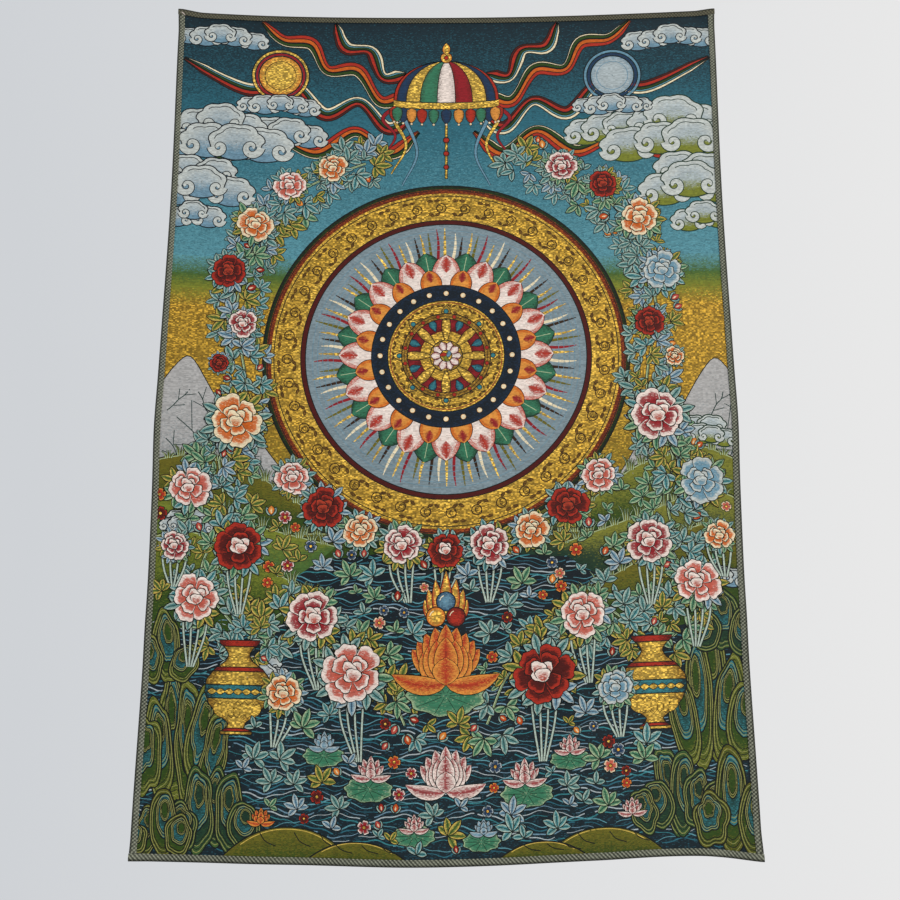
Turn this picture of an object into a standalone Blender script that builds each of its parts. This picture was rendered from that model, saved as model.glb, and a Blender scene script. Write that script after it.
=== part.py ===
"""A brocade thangka picture: one sheet of figured cloth, bound on its four sides.

The cloth hangs from its two top corners with its face to -Y. The origin is the middle
of its top edge, +Z is up, and all sizes are metres.
"""

import math
from collections import namedtuple

import bpy
from mathutils import Vector

# Driving dimensions
FINISHED_WIDTH = 0.600
FINISHED_HEIGHT = 0.900
CLOTH_THICKNESS = 0.0010
TAPE_THICKNESS = 0.0008
TAPE_WIDTH = 0.0070
SEWN_GAP = 0.0003

# Cells of the cloth between its bindings
CELLS_ACROSS = 28
CELLS_DOWN = 42

# The cloth's raw edge stands this far inside the finished edge
EDGE_INSET = SEWN_GAP + TAPE_THICKNESS
CLOTH_HALF_WIDTH = FINISHED_WIDTH / 2 - EDGE_INSET
CLOTH_HEIGHT = FINISHED_HEIGHT - 2 * EDGE_INSET
TAPE_REACH = TAPE_WIDTH - EDGE_INSET

# The two walls and the fold of a binding tape, measured at the middle of its thickness
TAPE_OFFSET = CLOTH_THICKNESS / 2 + SEWN_GAP + TAPE_THICKNESS / 2
TAPE_FOLD = SEWN_GAP + TAPE_THICKNESS / 2

# How far the two side edges are drawn in at the quarter heights
SIDE_DRAW = 0.0022

# The hanging edges. across runs from -1 at the left edge to 1 at the right, drop is
# how far the edge hangs below a straight line between its corners.
Edge = namedtuple("Edge", "across drop")
TOP_EDGE = (
    Edge(-1.00, 0.0000),
    Edge(-0.86, 0.0032),
    Edge(-0.62, 0.0068),
    Edge(-0.30, 0.0088),
    Edge(0.10, 0.0090),
    Edge(0.45, 0.0070),
    Edge(0.75, 0.0036),
    Edge(1.00, 0.0000),
)
BOTTOM_EDGE = (
    Edge(-1.00, 0.0000),
    Edge(-0.60, 0.0024),
    Edge(-0.15, 0.0050),
    Edge(0.15, 0.0040),
    Edge(0.48, -0.0010),
    Edge(0.80, -0.0048),
    Edge(1.00, 0.0000),
)

# Soft ridges that stand towards the viewer, each along a line from one point to another.
# across is as above, and down runs from 0 at the top edge to 1 at the bottom edge.
Ridge = namedtuple("Ridge", "across_a down_a across_b down_b height half_width")
RIDGES = (
    # packing fold across the middle
    Ridge(-1.30, 0.535, 1.30, 0.525, 0.0045, 0.042),
    # shallow fold across the lower quarter
    Ridge(-1.30, 0.762, 1.30, 0.748, 0.0018, 0.030),
    # drag lines from the two held corners
    Ridge(-0.96, 0.035, -0.46, 0.300, 0.0026, 0.022),
    Ridge(0.96, 0.035, 0.52, 0.260, 0.0022, 0.020),
    # waves that open towards the bottom edge
    Ridge(-0.62, 0.640, -0.58, 1.150, 0.0030, 0.040),
    Ridge(-0.12, 0.600, -0.14, 1.150, 0.0058, 0.062),
    Ridge(0.42, 0.700, 0.50, 1.150, 0.0026, 0.040),
)
RIDGE_END_FADE = 0.10

# Corner tips that curl forward
Curl = namedtuple("Curl", "across down height reach")
CURLS = (
    Curl(-1.0, 0.0, 0.0045, 0.026),
    Curl(1.0, 0.0, 0.0030, 0.022),
    Curl(-1.0, 1.0, 0.0024, 0.020),
    Curl(1.0, 1.0, 0.0050, 0.030),
)

# Step from a point to its neighbours, as a share of the half width and the height,
# for the slope of the cloth there
SLOPE_STEP = 0.002

CLOTH_COLOUR = (0.16, 0.30, 0.31, 1.0)
CLOTH_ROUGHNESS = 0.65
TAPE_COLOUR = (0.17, 0.18, 0.15, 1.0)
TAPE_ROUGHNESS = 0.85


def smooth_step(value):
    """0 below 0, 1 above 1, and a smooth rise between them."""
    value = min(max(value, 0.0), 1.0)
    return value * value * (3 - 2 * value)


def drop_at(edge, across):
    """The drop of a hanging edge at a place across it, by a Catmull-Rom curve."""
    across = min(max(across, edge[0].across), edge[-1].across)
    last = len(edge) - 1
    i = next(k for k in range(last) if across <= edge[k + 1].across)
    span = edge[i + 1].across - edge[i].across
    t = (across - edge[i].across) / span

    def slope(k):
        low, high = edge[max(k - 1, 0)], edge[min(k + 1, last)]
        return (high.drop - low.drop) / (high.across - low.across) * span

    return (
        (2 * t**3 - 3 * t**2 + 1) * edge[i].drop
        + (t**3 - 2 * t**2 + t) * slope(i)
        + (3 * t**2 - 2 * t**3) * edge[i + 1].drop
        + (t**3 - t**2) * slope(i + 1)
    )


def ridge_height(ridge, across, down):
    """How far one ridge lifts the cloth at a point."""
    start = Vector((ridge.across_a * CLOTH_HALF_WIDTH, ridge.down_a * CLOTH_HEIGHT))
    end = Vector((ridge.across_b * CLOTH_HALF_WIDTH, ridge.down_b * CLOTH_HEIGHT))
    along = end - start
    point = Vector((across * CLOTH_HALF_WIDTH, down * CLOTH_HEIGHT)) - start
    share = min(max(point.dot(along) / along.length_squared, 0.0), 1.0)
    away = (point - along * share).length
    to_end = min(share, 1 - share) * along.length
    fade = smooth_step(to_end / RIDGE_END_FADE)
    return ridge.height * fade * math.exp(-((away / ridge.half_width) ** 2))


def curl_height(curl, across, down):
    """How far one corner's curl lifts the cloth at a point."""
    away = math.hypot(
        (across - curl.across) * CLOTH_HALF_WIDTH, (down - curl.down) * CLOTH_HEIGHT
    )
    return curl.height * smooth_step(1 - away / curl.reach) if away < curl.reach else 0.0


def surface(across, down):
    """A point of the cloth's middle surface as it hangs."""
    level = min(max(down, 0.0), 1.0)
    drawn_in = SIDE_DRAW * math.sin(2 * math.pi * level) ** 2
    x = across * (CLOTH_HALF_WIDTH - drawn_in)
    top_drop = drop_at(TOP_EDGE, across) - drop_at(TOP_EDGE, 0.0)
    bottom_drop = drop_at(BOTTOM_EDGE, across) - drop_at(BOTTOM_EDGE, 0.0)
    z = -down * CLOTH_HEIGHT - top_drop * (1 - level) - bottom_drop * level
    lift = sum(ridge_height(ridge, across, down) for ridge in RIDGES)
    lift += sum(curl_height(curl, across, down) for curl in CURLS)
    return Vector((x, -lift, z - EDGE_INSET))


def surface_normal(across, down):
    """The cloth's normal at a point, towards the viewer."""
    to_right = surface(across + SLOPE_STEP, down) - surface(across - SLOPE_STEP, down)
    to_bottom = surface(across, down + SLOPE_STEP) - surface(across, down - SLOPE_STEP)
    return to_bottom.cross(to_right).normalized()


def offset_point(across, down, offset):
    """A point that stands off the middle surface, towards the viewer."""
    return surface(across, down) + surface_normal(across, down) * offset


def stations(cells, margin):
    """Places from 0 to 1: both ends, the two lines a margin inside them, and even
    cells between those."""
    inner = [margin + (1 - 2 * margin) * k / cells for k in range(cells + 1)]
    return [0.0, *inner, 1.0]


ACROSS = [2 * s - 1 for s in stations(CELLS_ACROSS, TAPE_REACH / (2 * CLOTH_HALF_WIDTH))]
DOWN = stations(CELLS_DOWN, TAPE_REACH / CLOTH_HEIGHT)


def material(name, colour, roughness):
    """A plain cloth finish."""
    made = bpy.data.materials.new(name)
    made.use_nodes = True
    made.diffuse_color = colour
    shader = made.node_tree.nodes["Principled BSDF"]
    shader.inputs["Base Color"].default_value = colour
    shader.inputs["Roughness"].default_value = roughness
    shader.inputs["Metallic"].default_value = 0.0
    return made


def sheet(name, columns, rows, place, thickness, finish, collection):
    """A grid whose points are placed by a function of column and row, thickened by the
    same amount on both sides into a closed solid."""
    bpy.ops.mesh.primitive_grid_add(
        x_subdivisions=columns - 1, y_subdivisions=rows - 1, size=2
    )
    made = bpy.context.object
    made.name = name
    made.data.name = name
    for vertex in made.data.vertices:
        column = round((vertex.co.x + 1) / 2 * (columns - 1))
        row = round((1 - vertex.co.y) / 2 * (rows - 1))
        vertex.co = place(column, row)
    solid = made.modifiers.new("thickness", "SOLIDIFY")
    solid.thickness = thickness
    solid.offset = 0.0
    solid.use_even_offset = True
    made.data.materials.append(finish)
    for owner in list(made.users_collection):
        owner.objects.unlink(made)
    collection.objects.link(made)
    return made


def picture_panel(finish, collection):
    """The woven picture, cut to size, with its raw edges inside the bindings."""
    return sheet(
        "picture_panel",
        len(ACROSS),
        len(DOWN),
        lambda column, row: surface(ACROSS[column], DOWN[row]),
        CLOTH_THICKNESS,
        finish,
        collection,
    )


def tape_section():
    """The folded tape in section: distance inside the cloth's edge, and offset."""
    return (
        (TAPE_REACH, TAPE_OFFSET),
        (-TAPE_FOLD, TAPE_OFFSET),
        (-TAPE_FOLD, -TAPE_OFFSET),
        (TAPE_REACH, -TAPE_OFFSET),
    )


def level_binding(name, at_top, finish, collection):
    """The tape over the top or the bottom edge, from side to side."""
    overrun = 1 + TAPE_FOLD / CLOTH_HALF_WIDTH
    across = [-overrun, *ACROSS[1:-1], overrun]
    section = tape_section()
    if not at_top:
        section = section[::-1]

    def place(column, row):
        inside, offset = section[row]
        share = inside / CLOTH_HEIGHT
        return offset_point(across[column], share if at_top else 1 - share, offset)

    return sheet(name, len(across), 4, place, TAPE_THICKNESS, finish, collection)


def upright_binding(name, side, finish, collection):
    """The tape over a side edge, between the top and bottom tapes."""
    end = (TAPE_REACH + SEWN_GAP) / CLOTH_HEIGHT
    down = [end, *DOWN[2:-2], 1 - end]
    section = tape_section()
    if side > 0:
        section = section[::-1]

    def place(column, row):
        inside, offset = section[column]
        across = side * (1 - inside / CLOTH_HALF_WIDTH)
        return offset_point(across, down[row], offset)

    return sheet(name, 4, len(down), place, TAPE_THICKNESS, finish, collection)


def main():
    for old in list(bpy.data.objects):
        bpy.data.objects.remove(old)
    collection = bpy.data.collections.new("brocade_thangka")
    bpy.context.scene.collection.children.link(collection)
    cloth = material("figured_silk", CLOTH_COLOUR, CLOTH_ROUGHNESS)
    tape = material("edge_tape", TAPE_COLOUR, TAPE_ROUGHNESS)
    picture_panel(cloth, collection)
    level_binding("binding_top", True, tape, collection)
    level_binding("binding_bottom", False, tape, collection)
    upright_binding("binding_left", -1, tape, collection)
    upright_binding("binding_right", 1, tape, collection)


main()
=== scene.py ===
# %% [markdown]
# # A brocade thangka, drawn with flat figures
# A thangka is a hanging picture on cloth. This one is machine-woven brocade: silk and gilt
# yarns cross in one thin sheet, and every flower, cloud and wave has a dark woven outline.
# The sheet could be one plane with a painted image. Here each figure is real geometry
# instead, cut from small faces and laid on the folds of the hanging cloth, so that its edge
# stays crisp from near and far and its colours need no picture file.
#
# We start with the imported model. It is the fixed frame that all the pieces are built on.

# %% Load the frame
import math
from collections import namedtuple

import bpy
import numpy as np
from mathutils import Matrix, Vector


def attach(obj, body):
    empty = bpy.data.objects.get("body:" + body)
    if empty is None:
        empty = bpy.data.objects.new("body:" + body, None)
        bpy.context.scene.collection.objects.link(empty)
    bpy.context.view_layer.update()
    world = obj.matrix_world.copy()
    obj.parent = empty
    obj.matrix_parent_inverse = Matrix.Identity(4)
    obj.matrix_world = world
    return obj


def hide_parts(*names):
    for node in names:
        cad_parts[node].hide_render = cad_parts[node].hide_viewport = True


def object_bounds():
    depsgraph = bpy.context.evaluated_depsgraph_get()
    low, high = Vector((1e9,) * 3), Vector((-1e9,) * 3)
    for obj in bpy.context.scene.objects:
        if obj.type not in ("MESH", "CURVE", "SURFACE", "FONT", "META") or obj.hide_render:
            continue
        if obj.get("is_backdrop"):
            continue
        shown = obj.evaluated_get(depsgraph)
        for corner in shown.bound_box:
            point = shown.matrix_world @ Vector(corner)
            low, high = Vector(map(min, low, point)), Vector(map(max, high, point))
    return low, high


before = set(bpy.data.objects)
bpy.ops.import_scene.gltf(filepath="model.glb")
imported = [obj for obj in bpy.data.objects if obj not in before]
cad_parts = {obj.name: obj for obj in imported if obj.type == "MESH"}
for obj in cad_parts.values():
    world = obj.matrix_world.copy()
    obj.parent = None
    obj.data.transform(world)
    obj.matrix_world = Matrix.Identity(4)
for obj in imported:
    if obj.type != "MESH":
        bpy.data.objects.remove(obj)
cad_low, cad_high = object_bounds()
print("cloth and bindings, in mm:", [round(1000 * side) for side in cad_high - cad_low])

# %% [markdown]
# ## How the cloth hangs
# The real sheet is held at its two top corners, so its top edge sags between them. A fold
# from its packing stays across the middle, and soft waves open towards the hem. All of that
# is one formula: a place on the flat cloth goes in, and a place in space comes out. Every
# piece in this scene goes through the same formula, so they all share the same folds.
# Drawing is easiest in millimetres on the finished cloth: x runs to the right from the
# middle, and y runs up from the top edge, so the hem is at y = -900.

# %% Sizes of the cloth, in millimetres
MM = 0.001
FINISHED_WIDTH = 600.0
FINISHED_HEIGHT = 900.0
TAPE_WIDTH = 7.0
TAPE_THICKNESS = 0.8
SEWN_GAP = 0.3
EDGE_INSET = SEWN_GAP + TAPE_THICKNESS
CLOTH_HALF_WIDTH = FINISHED_WIDTH / 2 - EDGE_INSET
CLOTH_HEIGHT = FINISHED_HEIGHT - 2 * EDGE_INSET
SIDE_DRAW = 2.2
RIDGE_END_FADE = 100.0

# Places across each edge, from -1 at the left to 1 at the right, and how far it hangs there
TOP_EDGE = ((-1.00, 0.0), (-0.86, 3.2), (-0.62, 6.8), (-0.30, 8.8),
            (0.10, 9.0), (0.45, 7.0), (0.75, 3.6), (1.00, 0.0))
BOTTOM_EDGE = ((-1.00, 0.0), (-0.60, 2.4), (-0.15, 5.0), (0.15, 4.0),
               (0.48, -1.0), (0.80, -4.8), (1.00, 0.0))
Ridge = namedtuple("Ridge", "across_a down_a across_b down_b height half_width")
RIDGES = (
    Ridge(-1.30, 0.535, 1.30, 0.525, 4.5, 42),
    Ridge(-1.30, 0.762, 1.30, 0.748, 1.8, 30),
    Ridge(-0.96, 0.035, -0.46, 0.300, 2.6, 22),
    Ridge(0.96, 0.035, 0.52, 0.260, 2.2, 20),
    Ridge(-0.62, 0.640, -0.58, 1.150, 3.0, 40),
    Ridge(-0.12, 0.600, -0.14, 1.150, 5.8, 62),
    Ridge(0.42, 0.700, 0.50, 1.150, 2.6, 40),
)
Curl = namedtuple("Curl", "across down height reach")
CURLS = (
    Curl(-1.0, 0.0, 4.5, 26),
    Curl(1.0, 0.0, 3.0, 22),
    Curl(-1.0, 1.0, 2.4, 20),
    Curl(1.0, 1.0, 5.0, 30),
)


# %% The hanging surface as a formula
def smooth_step(value):
    """0 below 0, 1 above 1, and a smooth rise between them."""
    value = np.clip(value, 0.0, 1.0)
    return value * value * (3 - 2 * value)


def between_points(t, start, leaving, end, arriving, span=1.0):
    """A smooth curve between two values whose slopes are known."""
    return (
        (2 * t**3 - 3 * t**2 + 1) * start
        + (t**3 - 2 * t**2 + t) * leaving * span
        + (3 * t**2 - 2 * t**3) * end
        + (t**3 - t**2) * arriving * span
    )


def drop_at(edge, across):
    """How far an edge hangs below the line between its corners, by a smooth curve."""
    places, drops = np.array(edge).T
    slopes = np.empty(len(places))
    slopes[1:-1] = (drops[2:] - drops[:-2]) / (places[2:] - places[:-2])
    slopes[0] = (drops[1] - drops[0]) / (places[1] - places[0])
    slopes[-1] = (drops[-1] - drops[-2]) / (places[-1] - places[-2])
    across = np.clip(across, places[0], places[-1])
    i = np.clip(np.searchsorted(places, across) - 1, 0, len(places) - 2)
    span = places[i + 1] - places[i]
    t = (across - places[i]) / span
    return between_points(t, drops[i], slopes[i], drops[i + 1], slopes[i + 1], span)


def fold_lift(across, down):
    """How far the folds and the curled corners bring the cloth forward."""
    x, y = across * CLOTH_HALF_WIDTH, down * CLOTH_HEIGHT
    lift = np.zeros_like(x)
    for ridge in RIDGES:
        start = np.array((ridge.across_a * CLOTH_HALF_WIDTH, ridge.down_a * CLOTH_HEIGHT))
        along = np.array((ridge.across_b * CLOTH_HALF_WIDTH, ridge.down_b * CLOTH_HEIGHT)) - start
        length = math.hypot(*along)
        share = ((x - start[0]) * along[0] + (y - start[1]) * along[1]) / length**2
        share = np.clip(share, 0.0, 1.0)
        away = np.hypot(x - start[0] - share * along[0], y - start[1] - share * along[1])
        fade = smooth_step(np.minimum(share, 1 - share) * length / RIDGE_END_FADE)
        lift += ridge.height * fade * np.exp(-((away / ridge.half_width) ** 2))
    for curl in CURLS:
        away = np.hypot(x - curl.across * CLOTH_HALF_WIDTH, y - curl.down * CLOTH_HEIGHT)
        lift += curl.height * smooth_step(1 - away / curl.reach)
    return lift


def middle_surface(x, y):
    """The middle of the cloth's thickness, in mm, for places on the finished cloth."""
    across = x / CLOTH_HALF_WIDTH
    down = (-y - EDGE_INSET) / CLOTH_HEIGHT
    level = np.clip(down, 0.0, 1.0)
    drawn_in = SIDE_DRAW * np.sin(2 * np.pi * level) ** 2
    top_drop = drop_at(TOP_EDGE, across) - drop_at(TOP_EDGE, 0.0)
    bottom_drop = drop_at(BOTTOM_EDGE, across) - drop_at(BOTTOM_EDGE, 0.0)
    z = -down * CLOTH_HEIGHT - top_drop * (1 - level) - bottom_drop * level - EDGE_INSET
    return np.stack([across * (CLOTH_HALF_WIDTH - drawn_in), -fold_lift(across, down), z], -1)


SLOPE_STEP = 0.6


def hung(places, heights):
    """Places of the flat cloth as points in space, in metres, and the way they face."""
    x, y = np.asarray(places, float).T
    to_right = middle_surface(x + SLOPE_STEP, y) - middle_surface(x - SLOPE_STEP, y)
    to_bottom = middle_surface(x, y - SLOPE_STEP) - middle_surface(x, y + SLOPE_STEP)
    facing = np.cross(to_bottom, to_right)
    facing /= np.linalg.norm(facing, axis=1)[:, None]
    heights = np.broadcast_to(np.asarray(heights, float), x.shape)
    return (middle_surface(x, y) + facing * heights[:, None]) * MM, facing


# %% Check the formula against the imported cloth
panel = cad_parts["picture_panel"]
packed = np.array([panel.matrix_world @ v.co for v in panel.data.vertices]) / MM
in_field = np.abs(packed[:, 0]) < FINISHED_WIDTH / 2 - TAPE_WIDTH
packed = packed[in_field]
flat_y = packed[:, 2].copy()
for _ in range(3):
    flat_y += packed[:, 2] - middle_surface(packed[:, 0], flat_y)[:, 2]
apart = np.abs(middle_surface(packed[:, 0], flat_y)[:, 1] - packed[:, 1])
print("packed skin lies", round(float(np.median(apart)), 2), "mm from the formula's middle surface")

# %% [markdown]
# ## The camera
# The photograph was taken by hand, from a little below the middle of the cloth's lower half
# and looking up, so the cloth looks wider at its hem than at its top. A camera that stands in
# the same place gives the same taper. It is set by its place and its tilt.

# %% Place the camera
CAMERA_PLACE = (0.0077, -1.0968, -0.7391)
CAMERA_TILT_UP = 12.47
CAMERA_TURN = 0.19
CAMERA_LENS = 43.85
SENSOR_WIDTH = 36.0

camera = bpy.data.objects.new("camera", bpy.data.cameras.new("camera"))
bpy.context.scene.collection.objects.link(camera)
camera.location = CAMERA_PLACE
camera.rotation_euler = (math.radians(90 + CAMERA_TILT_UP), 0, math.radians(CAMERA_TURN))
camera.data.lens = CAMERA_LENS
camera.data.sensor_width = SENSOR_WIDTH
bpy.context.scene.camera = camera
print("camera stands", round(-1000 * CAMERA_PLACE[1]), "mm in front of the cloth")

# %% [markdown]
# ## Yarns
# A jacquard loom works with a few yarn colours and mixes them by turns, thread by thread.
# So each spot of a figure holds two yarns and a tone, the share of the second one. The
# shader later picks one or the other for each tiny cell, which gives the grain of the real
# weave. Gilt yarns carry one more number: their share of gilt, which sets how metallic they
# are and how strongly painted glints show in their colour.


# %% The yarn box
def yarn(code, gilt=0.0):
    """A yarn's linear colour from its screen colour, with its share of gilt."""
    channels = [int(code[i : i + 2], 16) / 255 for i in (0, 2, 4)]
    linear = [c / 12.92 if c <= 0.04045 else ((c + 0.055) / 1.055) ** 2.4 for c in channels]
    return (*linear, gilt)


YARN_CODES = {
    "ink": "0d1413", "umber": "33200f", "night": "10252f", "teal": "2a6678", "sky": "5a95a4",
    "gold": "b08b30", "bright gold": "d2ae4c", "old gold": "7c591c", "olive": "6a641c",
    "lime": "7d7f2f", "moss": "2a4512", "pine": "163426", "navy": "0e1820", "royal": "1b3656",
    "foam": "afc1b6", "cloud": "a9b6bc", "cloud cap": "c0c7c5", "meadow": "767e2a",
    "mist": "6c90a6", "leaf": "467e80", "leaf shade": "123430", "leaf light": "adc09a",
    "leaf tip": "d3b658", "lichen": "8d8f52", "green": "46662f", "blush": "ecdfd8",
    "rose": "bd5747", "crimson": "8e1a24", "brick": "ad3c26", "red": "a92c1c", "orange": "c65f1b",
    "amber": "dc9340", "cream": "eaddbc", "maroon": "4b1210", "disc": "7c8f99", "pearl": "a6b2b8",
    "powder": "648fa6", "stone": "adadae", "slate": "6f7f86", "malachite": "35775a",
    "turquoise": "35808a",
}
GILT_SHARES = {"gold": 1.0, "bright gold": 1.0, "old gold": 0.7}
YARNS = {name: yarn(code, GILT_SHARES.get(name, 0.0)) for name, code in YARN_CODES.items()}
print(len(YARNS), "yarns in the box")

# Pairs that many figures share
GILT = ("bright gold", "old gold")
PALE_GILT = ("bright gold", "gold")
FLAME = ("bright gold", "orange")
RUBY = ("red", "maroon")
SAPPHIRE = ("powder", "royal")
LAGOON = ("turquoise", "royal")
GRASSY = ("olive", "moss")
ICE = ("cloud", "powder")
PINK = ("blush", "crimson")
ORANGE = ("amber", "red")
BLUE = ("cloud", "royal")

# %% [markdown]
# ## Drawing with rows of points
# A petal, a cloud or a ribbon is a strip: rows of points side by side, with faces between
# neighbouring rows. One function, `weave`, makes such a strip and gives each row its tone, so
# a petal can turn from pale at its rim to deep red at its root. Blender could fill 2D curves
# too, but a strip lets us choose where the faces and the tones lie.
#
# A figure is a bundle of arrays: points, faces, two yarns and a tone at each point, and a
# level that says what lies on top of what inside the figure.

# %% Directions
def headings(angles):
    """Unit steps in the directions of some angles, in radians."""
    return np.stack([np.cos(angles), np.sin(angles)], 1)


def heading(turn):
    """A unit step in a direction given in degrees."""
    angle = math.radians(turn)
    return np.array((math.cos(angle), math.sin(angle)))


def whole_turn(count):
    """Even angles round a circle, in radians."""
    return np.linspace(0, 2 * math.pi, count, endpoint=False)


def left_of(ahead):
    """A quarter turn to the left of each step of a path."""
    return np.stack([-ahead[:, 1], ahead[:, 0]], 1)


# %% Strips and figures
Figure = namedtuple("Figure", "points faces first second tone level")


def grid_corners(index):
    """The four corners of each face of a grid of points."""
    return index[:-1, :-1], index[:-1, 1:], index[1:, 1:], index[1:, :-1]


def weave(rows, yarns, tones, closed=False, level=0):
    """A figure of faces between neighbouring rows of points."""
    rows = np.asarray(rows, float)
    count, length = rows.shape[:2]
    tones = np.asarray(tones, float)
    if tones.ndim:
        tones = tones.reshape(count, -1)
    tone = np.broadcast_to(tones, (count, length))
    index = np.arange(count * length).reshape(count, length)
    if closed:
        index = np.hstack([index, index[:, :1]])
    a, b, c, d = grid_corners(index)
    faces = [np.stack(corner, -1).reshape(-1, 3) for corner in ((a, b, c), (a, c, d))]
    total = count * length
    return Figure(
        rows.reshape(-1, 2),
        np.concatenate(faces),
        np.tile(YARNS[yarns[0]], (total, 1)),
        np.tile(YARNS[yarns[-1]], (total, 1)),
        tone.reshape(-1).copy(),
        np.full(total, level),
    )


def joined(figures):
    """Several figures as one, each on its own level."""
    figures = list(figures)
    starts = np.cumsum([0, *(len(f.points) for f in figures[:-1])])
    parts = [np.concatenate([f[i] for f in figures]) for i in (0, 2, 3, 4, 5)]
    faces = np.concatenate([f.faces + start for f, start in zip(figures, starts)])
    return Figure(parts[0], faces, *parts[1:])


def moved(figure, at=(0, 0), turn=0.0, size=1.0, mirror=False, level=0):
    """A figure mirrored, scaled, turned by degrees and set down at a place."""
    points = figure.points * size
    if mirror:
        points = points * (-1, 1)
    ahead = heading(turn)
    matrix = np.array((ahead, (-ahead[1], ahead[0])))
    return figure._replace(points=points @ matrix + at, level=figure.level + level)


# %% Lines, curves and circles
def line(path, width, yarn_name, closed=False, level=0):
    """A thread of one yarn along a path. The width is one number or one for each point."""
    path = np.asarray(path, float)
    if closed:
        ahead = np.roll(path, -1, 0) - np.roll(path, 1, 0)
    else:
        ahead = np.gradient(path, axis=0)
    side = left_of(ahead)
    side /= np.maximum(np.linalg.norm(side, axis=1), 1e-9)[:, None]
    half = np.broadcast_to(np.asarray(width, float) / 2, len(path))[:, None]
    return weave([path + side * half, path - side * half], (yarn_name,), 0.0, closed, level)


CURVE_STEPS = 12


def travelled(path):
    """How far along a path each of its points lies."""
    return np.concatenate([[0], np.cumsum(np.linalg.norm(np.diff(path, axis=0), axis=1))])


def curve(points, step):
    """Points at even steps along a smooth curve through the given ones."""
    points = np.asarray(points, float)
    padded = np.vstack([2 * points[0] - points[1], points, 2 * points[-1] - points[-2]])
    t = np.linspace(0, 1, CURVE_STEPS, endpoint=False)[:, None]
    runs = []
    for p0, p1, p2, p3 in zip(padded, padded[1:], padded[2:], padded[3:]):
        runs.append(between_points(t, p1, (p2 - p0) / 2, p2, (p3 - p1) / 2))
    fine = np.vstack([*runs, padded[-2:-1]])
    travel = travelled(fine)
    count = max(3, int(round(travel[-1] / step)) + 1)
    even = np.linspace(0, travel[-1], count)
    return np.stack([np.interp(even, travel, fine[:, i]) for i in (0, 1)], 1)


def circle(radius, count=None, start=0.0, stop=360.0):
    """Points round a circle or an arc, in degrees. A whole circle doesn't repeat its start."""
    whole = abs(stop - start) >= 360
    if count is None:
        count = max(12, int(abs(stop - start) / 360 * 2 * math.pi * radius / 2.4))
    return radius * headings(np.radians(np.linspace(start, stop, count, endpoint=not whole)))


def spiral(radius, turns, inner):
    """A path that winds from the left of a circle's rim towards its middle."""
    t = np.linspace(0, 1, max(8, int(turns * 2 * math.pi * radius * 0.6 / 1.6)))
    reach = radius * (1 - (1 - inner) * t)
    return reach[:, None] * headings(math.radians(180) + t * turns * 2 * math.pi)


def middle_last(count):
    """The numbers of a row of things, from its two ends to its middle."""
    return sorted(range(count), key=lambda k: -abs(k - (count - 1) / 2))


def evens_first(count):
    """The numbers of a ring of things, every second one first."""
    return sorted(range(count), key=lambda k: k % 2)


print("a test strip has", len(line(circle(20), 1.0, "ink", closed=True).faces), "faces")

# %% [markdown]
# ## Laying figures on the cloth
# Woven figures lie in one thin layer, but a renderer needs to know which one is in front.
# Each figure is laid like a cut-out: a coarse map of the cloth remembers how many cut-outs
# already cover each spot, and a new one goes eight thousandths of a millimetre above the
# highest of them. The map also remembers the colour on top, which later tints the reverse.
#
# A long face would cut straight through a fold, so faces are split until no edge is longer
# than a few millimetres.

# %% The stacking map
LEVEL_STEP = 0.008
FIRST_LEVEL = 0.12
SHEET_THICKNESS = 0.6
FLAT_ENOUGH = 0.011
BEND_REACH = 3.0
SHORTEST_LIMIT = 2.6
LONGEST_LIMIT = 8.0
SLIVER = 1e-4
CELL = 1.5
MAP_COLUMNS = int(FINISHED_WIDTH / CELL)
MAP_ROWS = int(FINISHED_HEIGHT / CELL)
UNDER_TAPE = 0.7
FIELD_RIGHT = FINISHED_WIDTH / 2 - TAPE_WIDTH + UNDER_TAPE
FIELD_TOP = -TAPE_WIDTH + UNDER_TAPE
FIELD_BOTTOM = -FINISHED_HEIGHT + TAPE_WIDTH - UNDER_TAPE

stacked = np.zeros(MAP_ROWS * MAP_COLUMNS, int)
covered = np.zeros(MAP_ROWS * MAP_COLUMNS, bool)
top_colour = np.zeros((MAP_ROWS * MAP_COLUMNS, 4))
laid = {}


def cells_at(places):
    """The map's cell under each place."""
    column = ((places[..., 0] + FINISHED_WIDTH / 2) / CELL).astype(int)
    row = (-places[..., 1] / CELL).astype(int)
    column = np.clip(column, 0, MAP_COLUMNS - 1)
    return np.clip(row, 0, MAP_ROWS - 1) * MAP_COLUMNS + column


def edge_limits():
    """The longest edge that keeps a face close to the curved cloth, for each cell."""
    x = (np.arange(MAP_COLUMNS) + 0.5) * CELL - FINISHED_WIDTH / 2
    y = -(np.arange(MAP_ROWS) + 0.5) * CELL
    x, y = np.meshgrid(x, y)
    bend = np.zeros_like(x)
    for step in ((1, 0), (0, 1), (0.7, 0.7), (0.7, -0.7)):
        lifts = [middle_surface(x + k * BEND_REACH * step[0], y + k * BEND_REACH * step[1])[..., 1]
                 for k in (-1, 0, 1)]
        bend = np.maximum(bend, np.abs(lifts[0] - 2 * lifts[1] + lifts[2]) / BEND_REACH**2)
    limit = np.sqrt(8 * FLAT_ENOUGH / np.maximum(bend, 1e-6))
    return np.clip(limit, SHORTEST_LIMIT, LONGEST_LIMIT).ravel()


edge_limit = edge_limits()
print("longest edges, mm:", edge_limit.min().round(1), "to", edge_limit.max().round(1))


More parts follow.
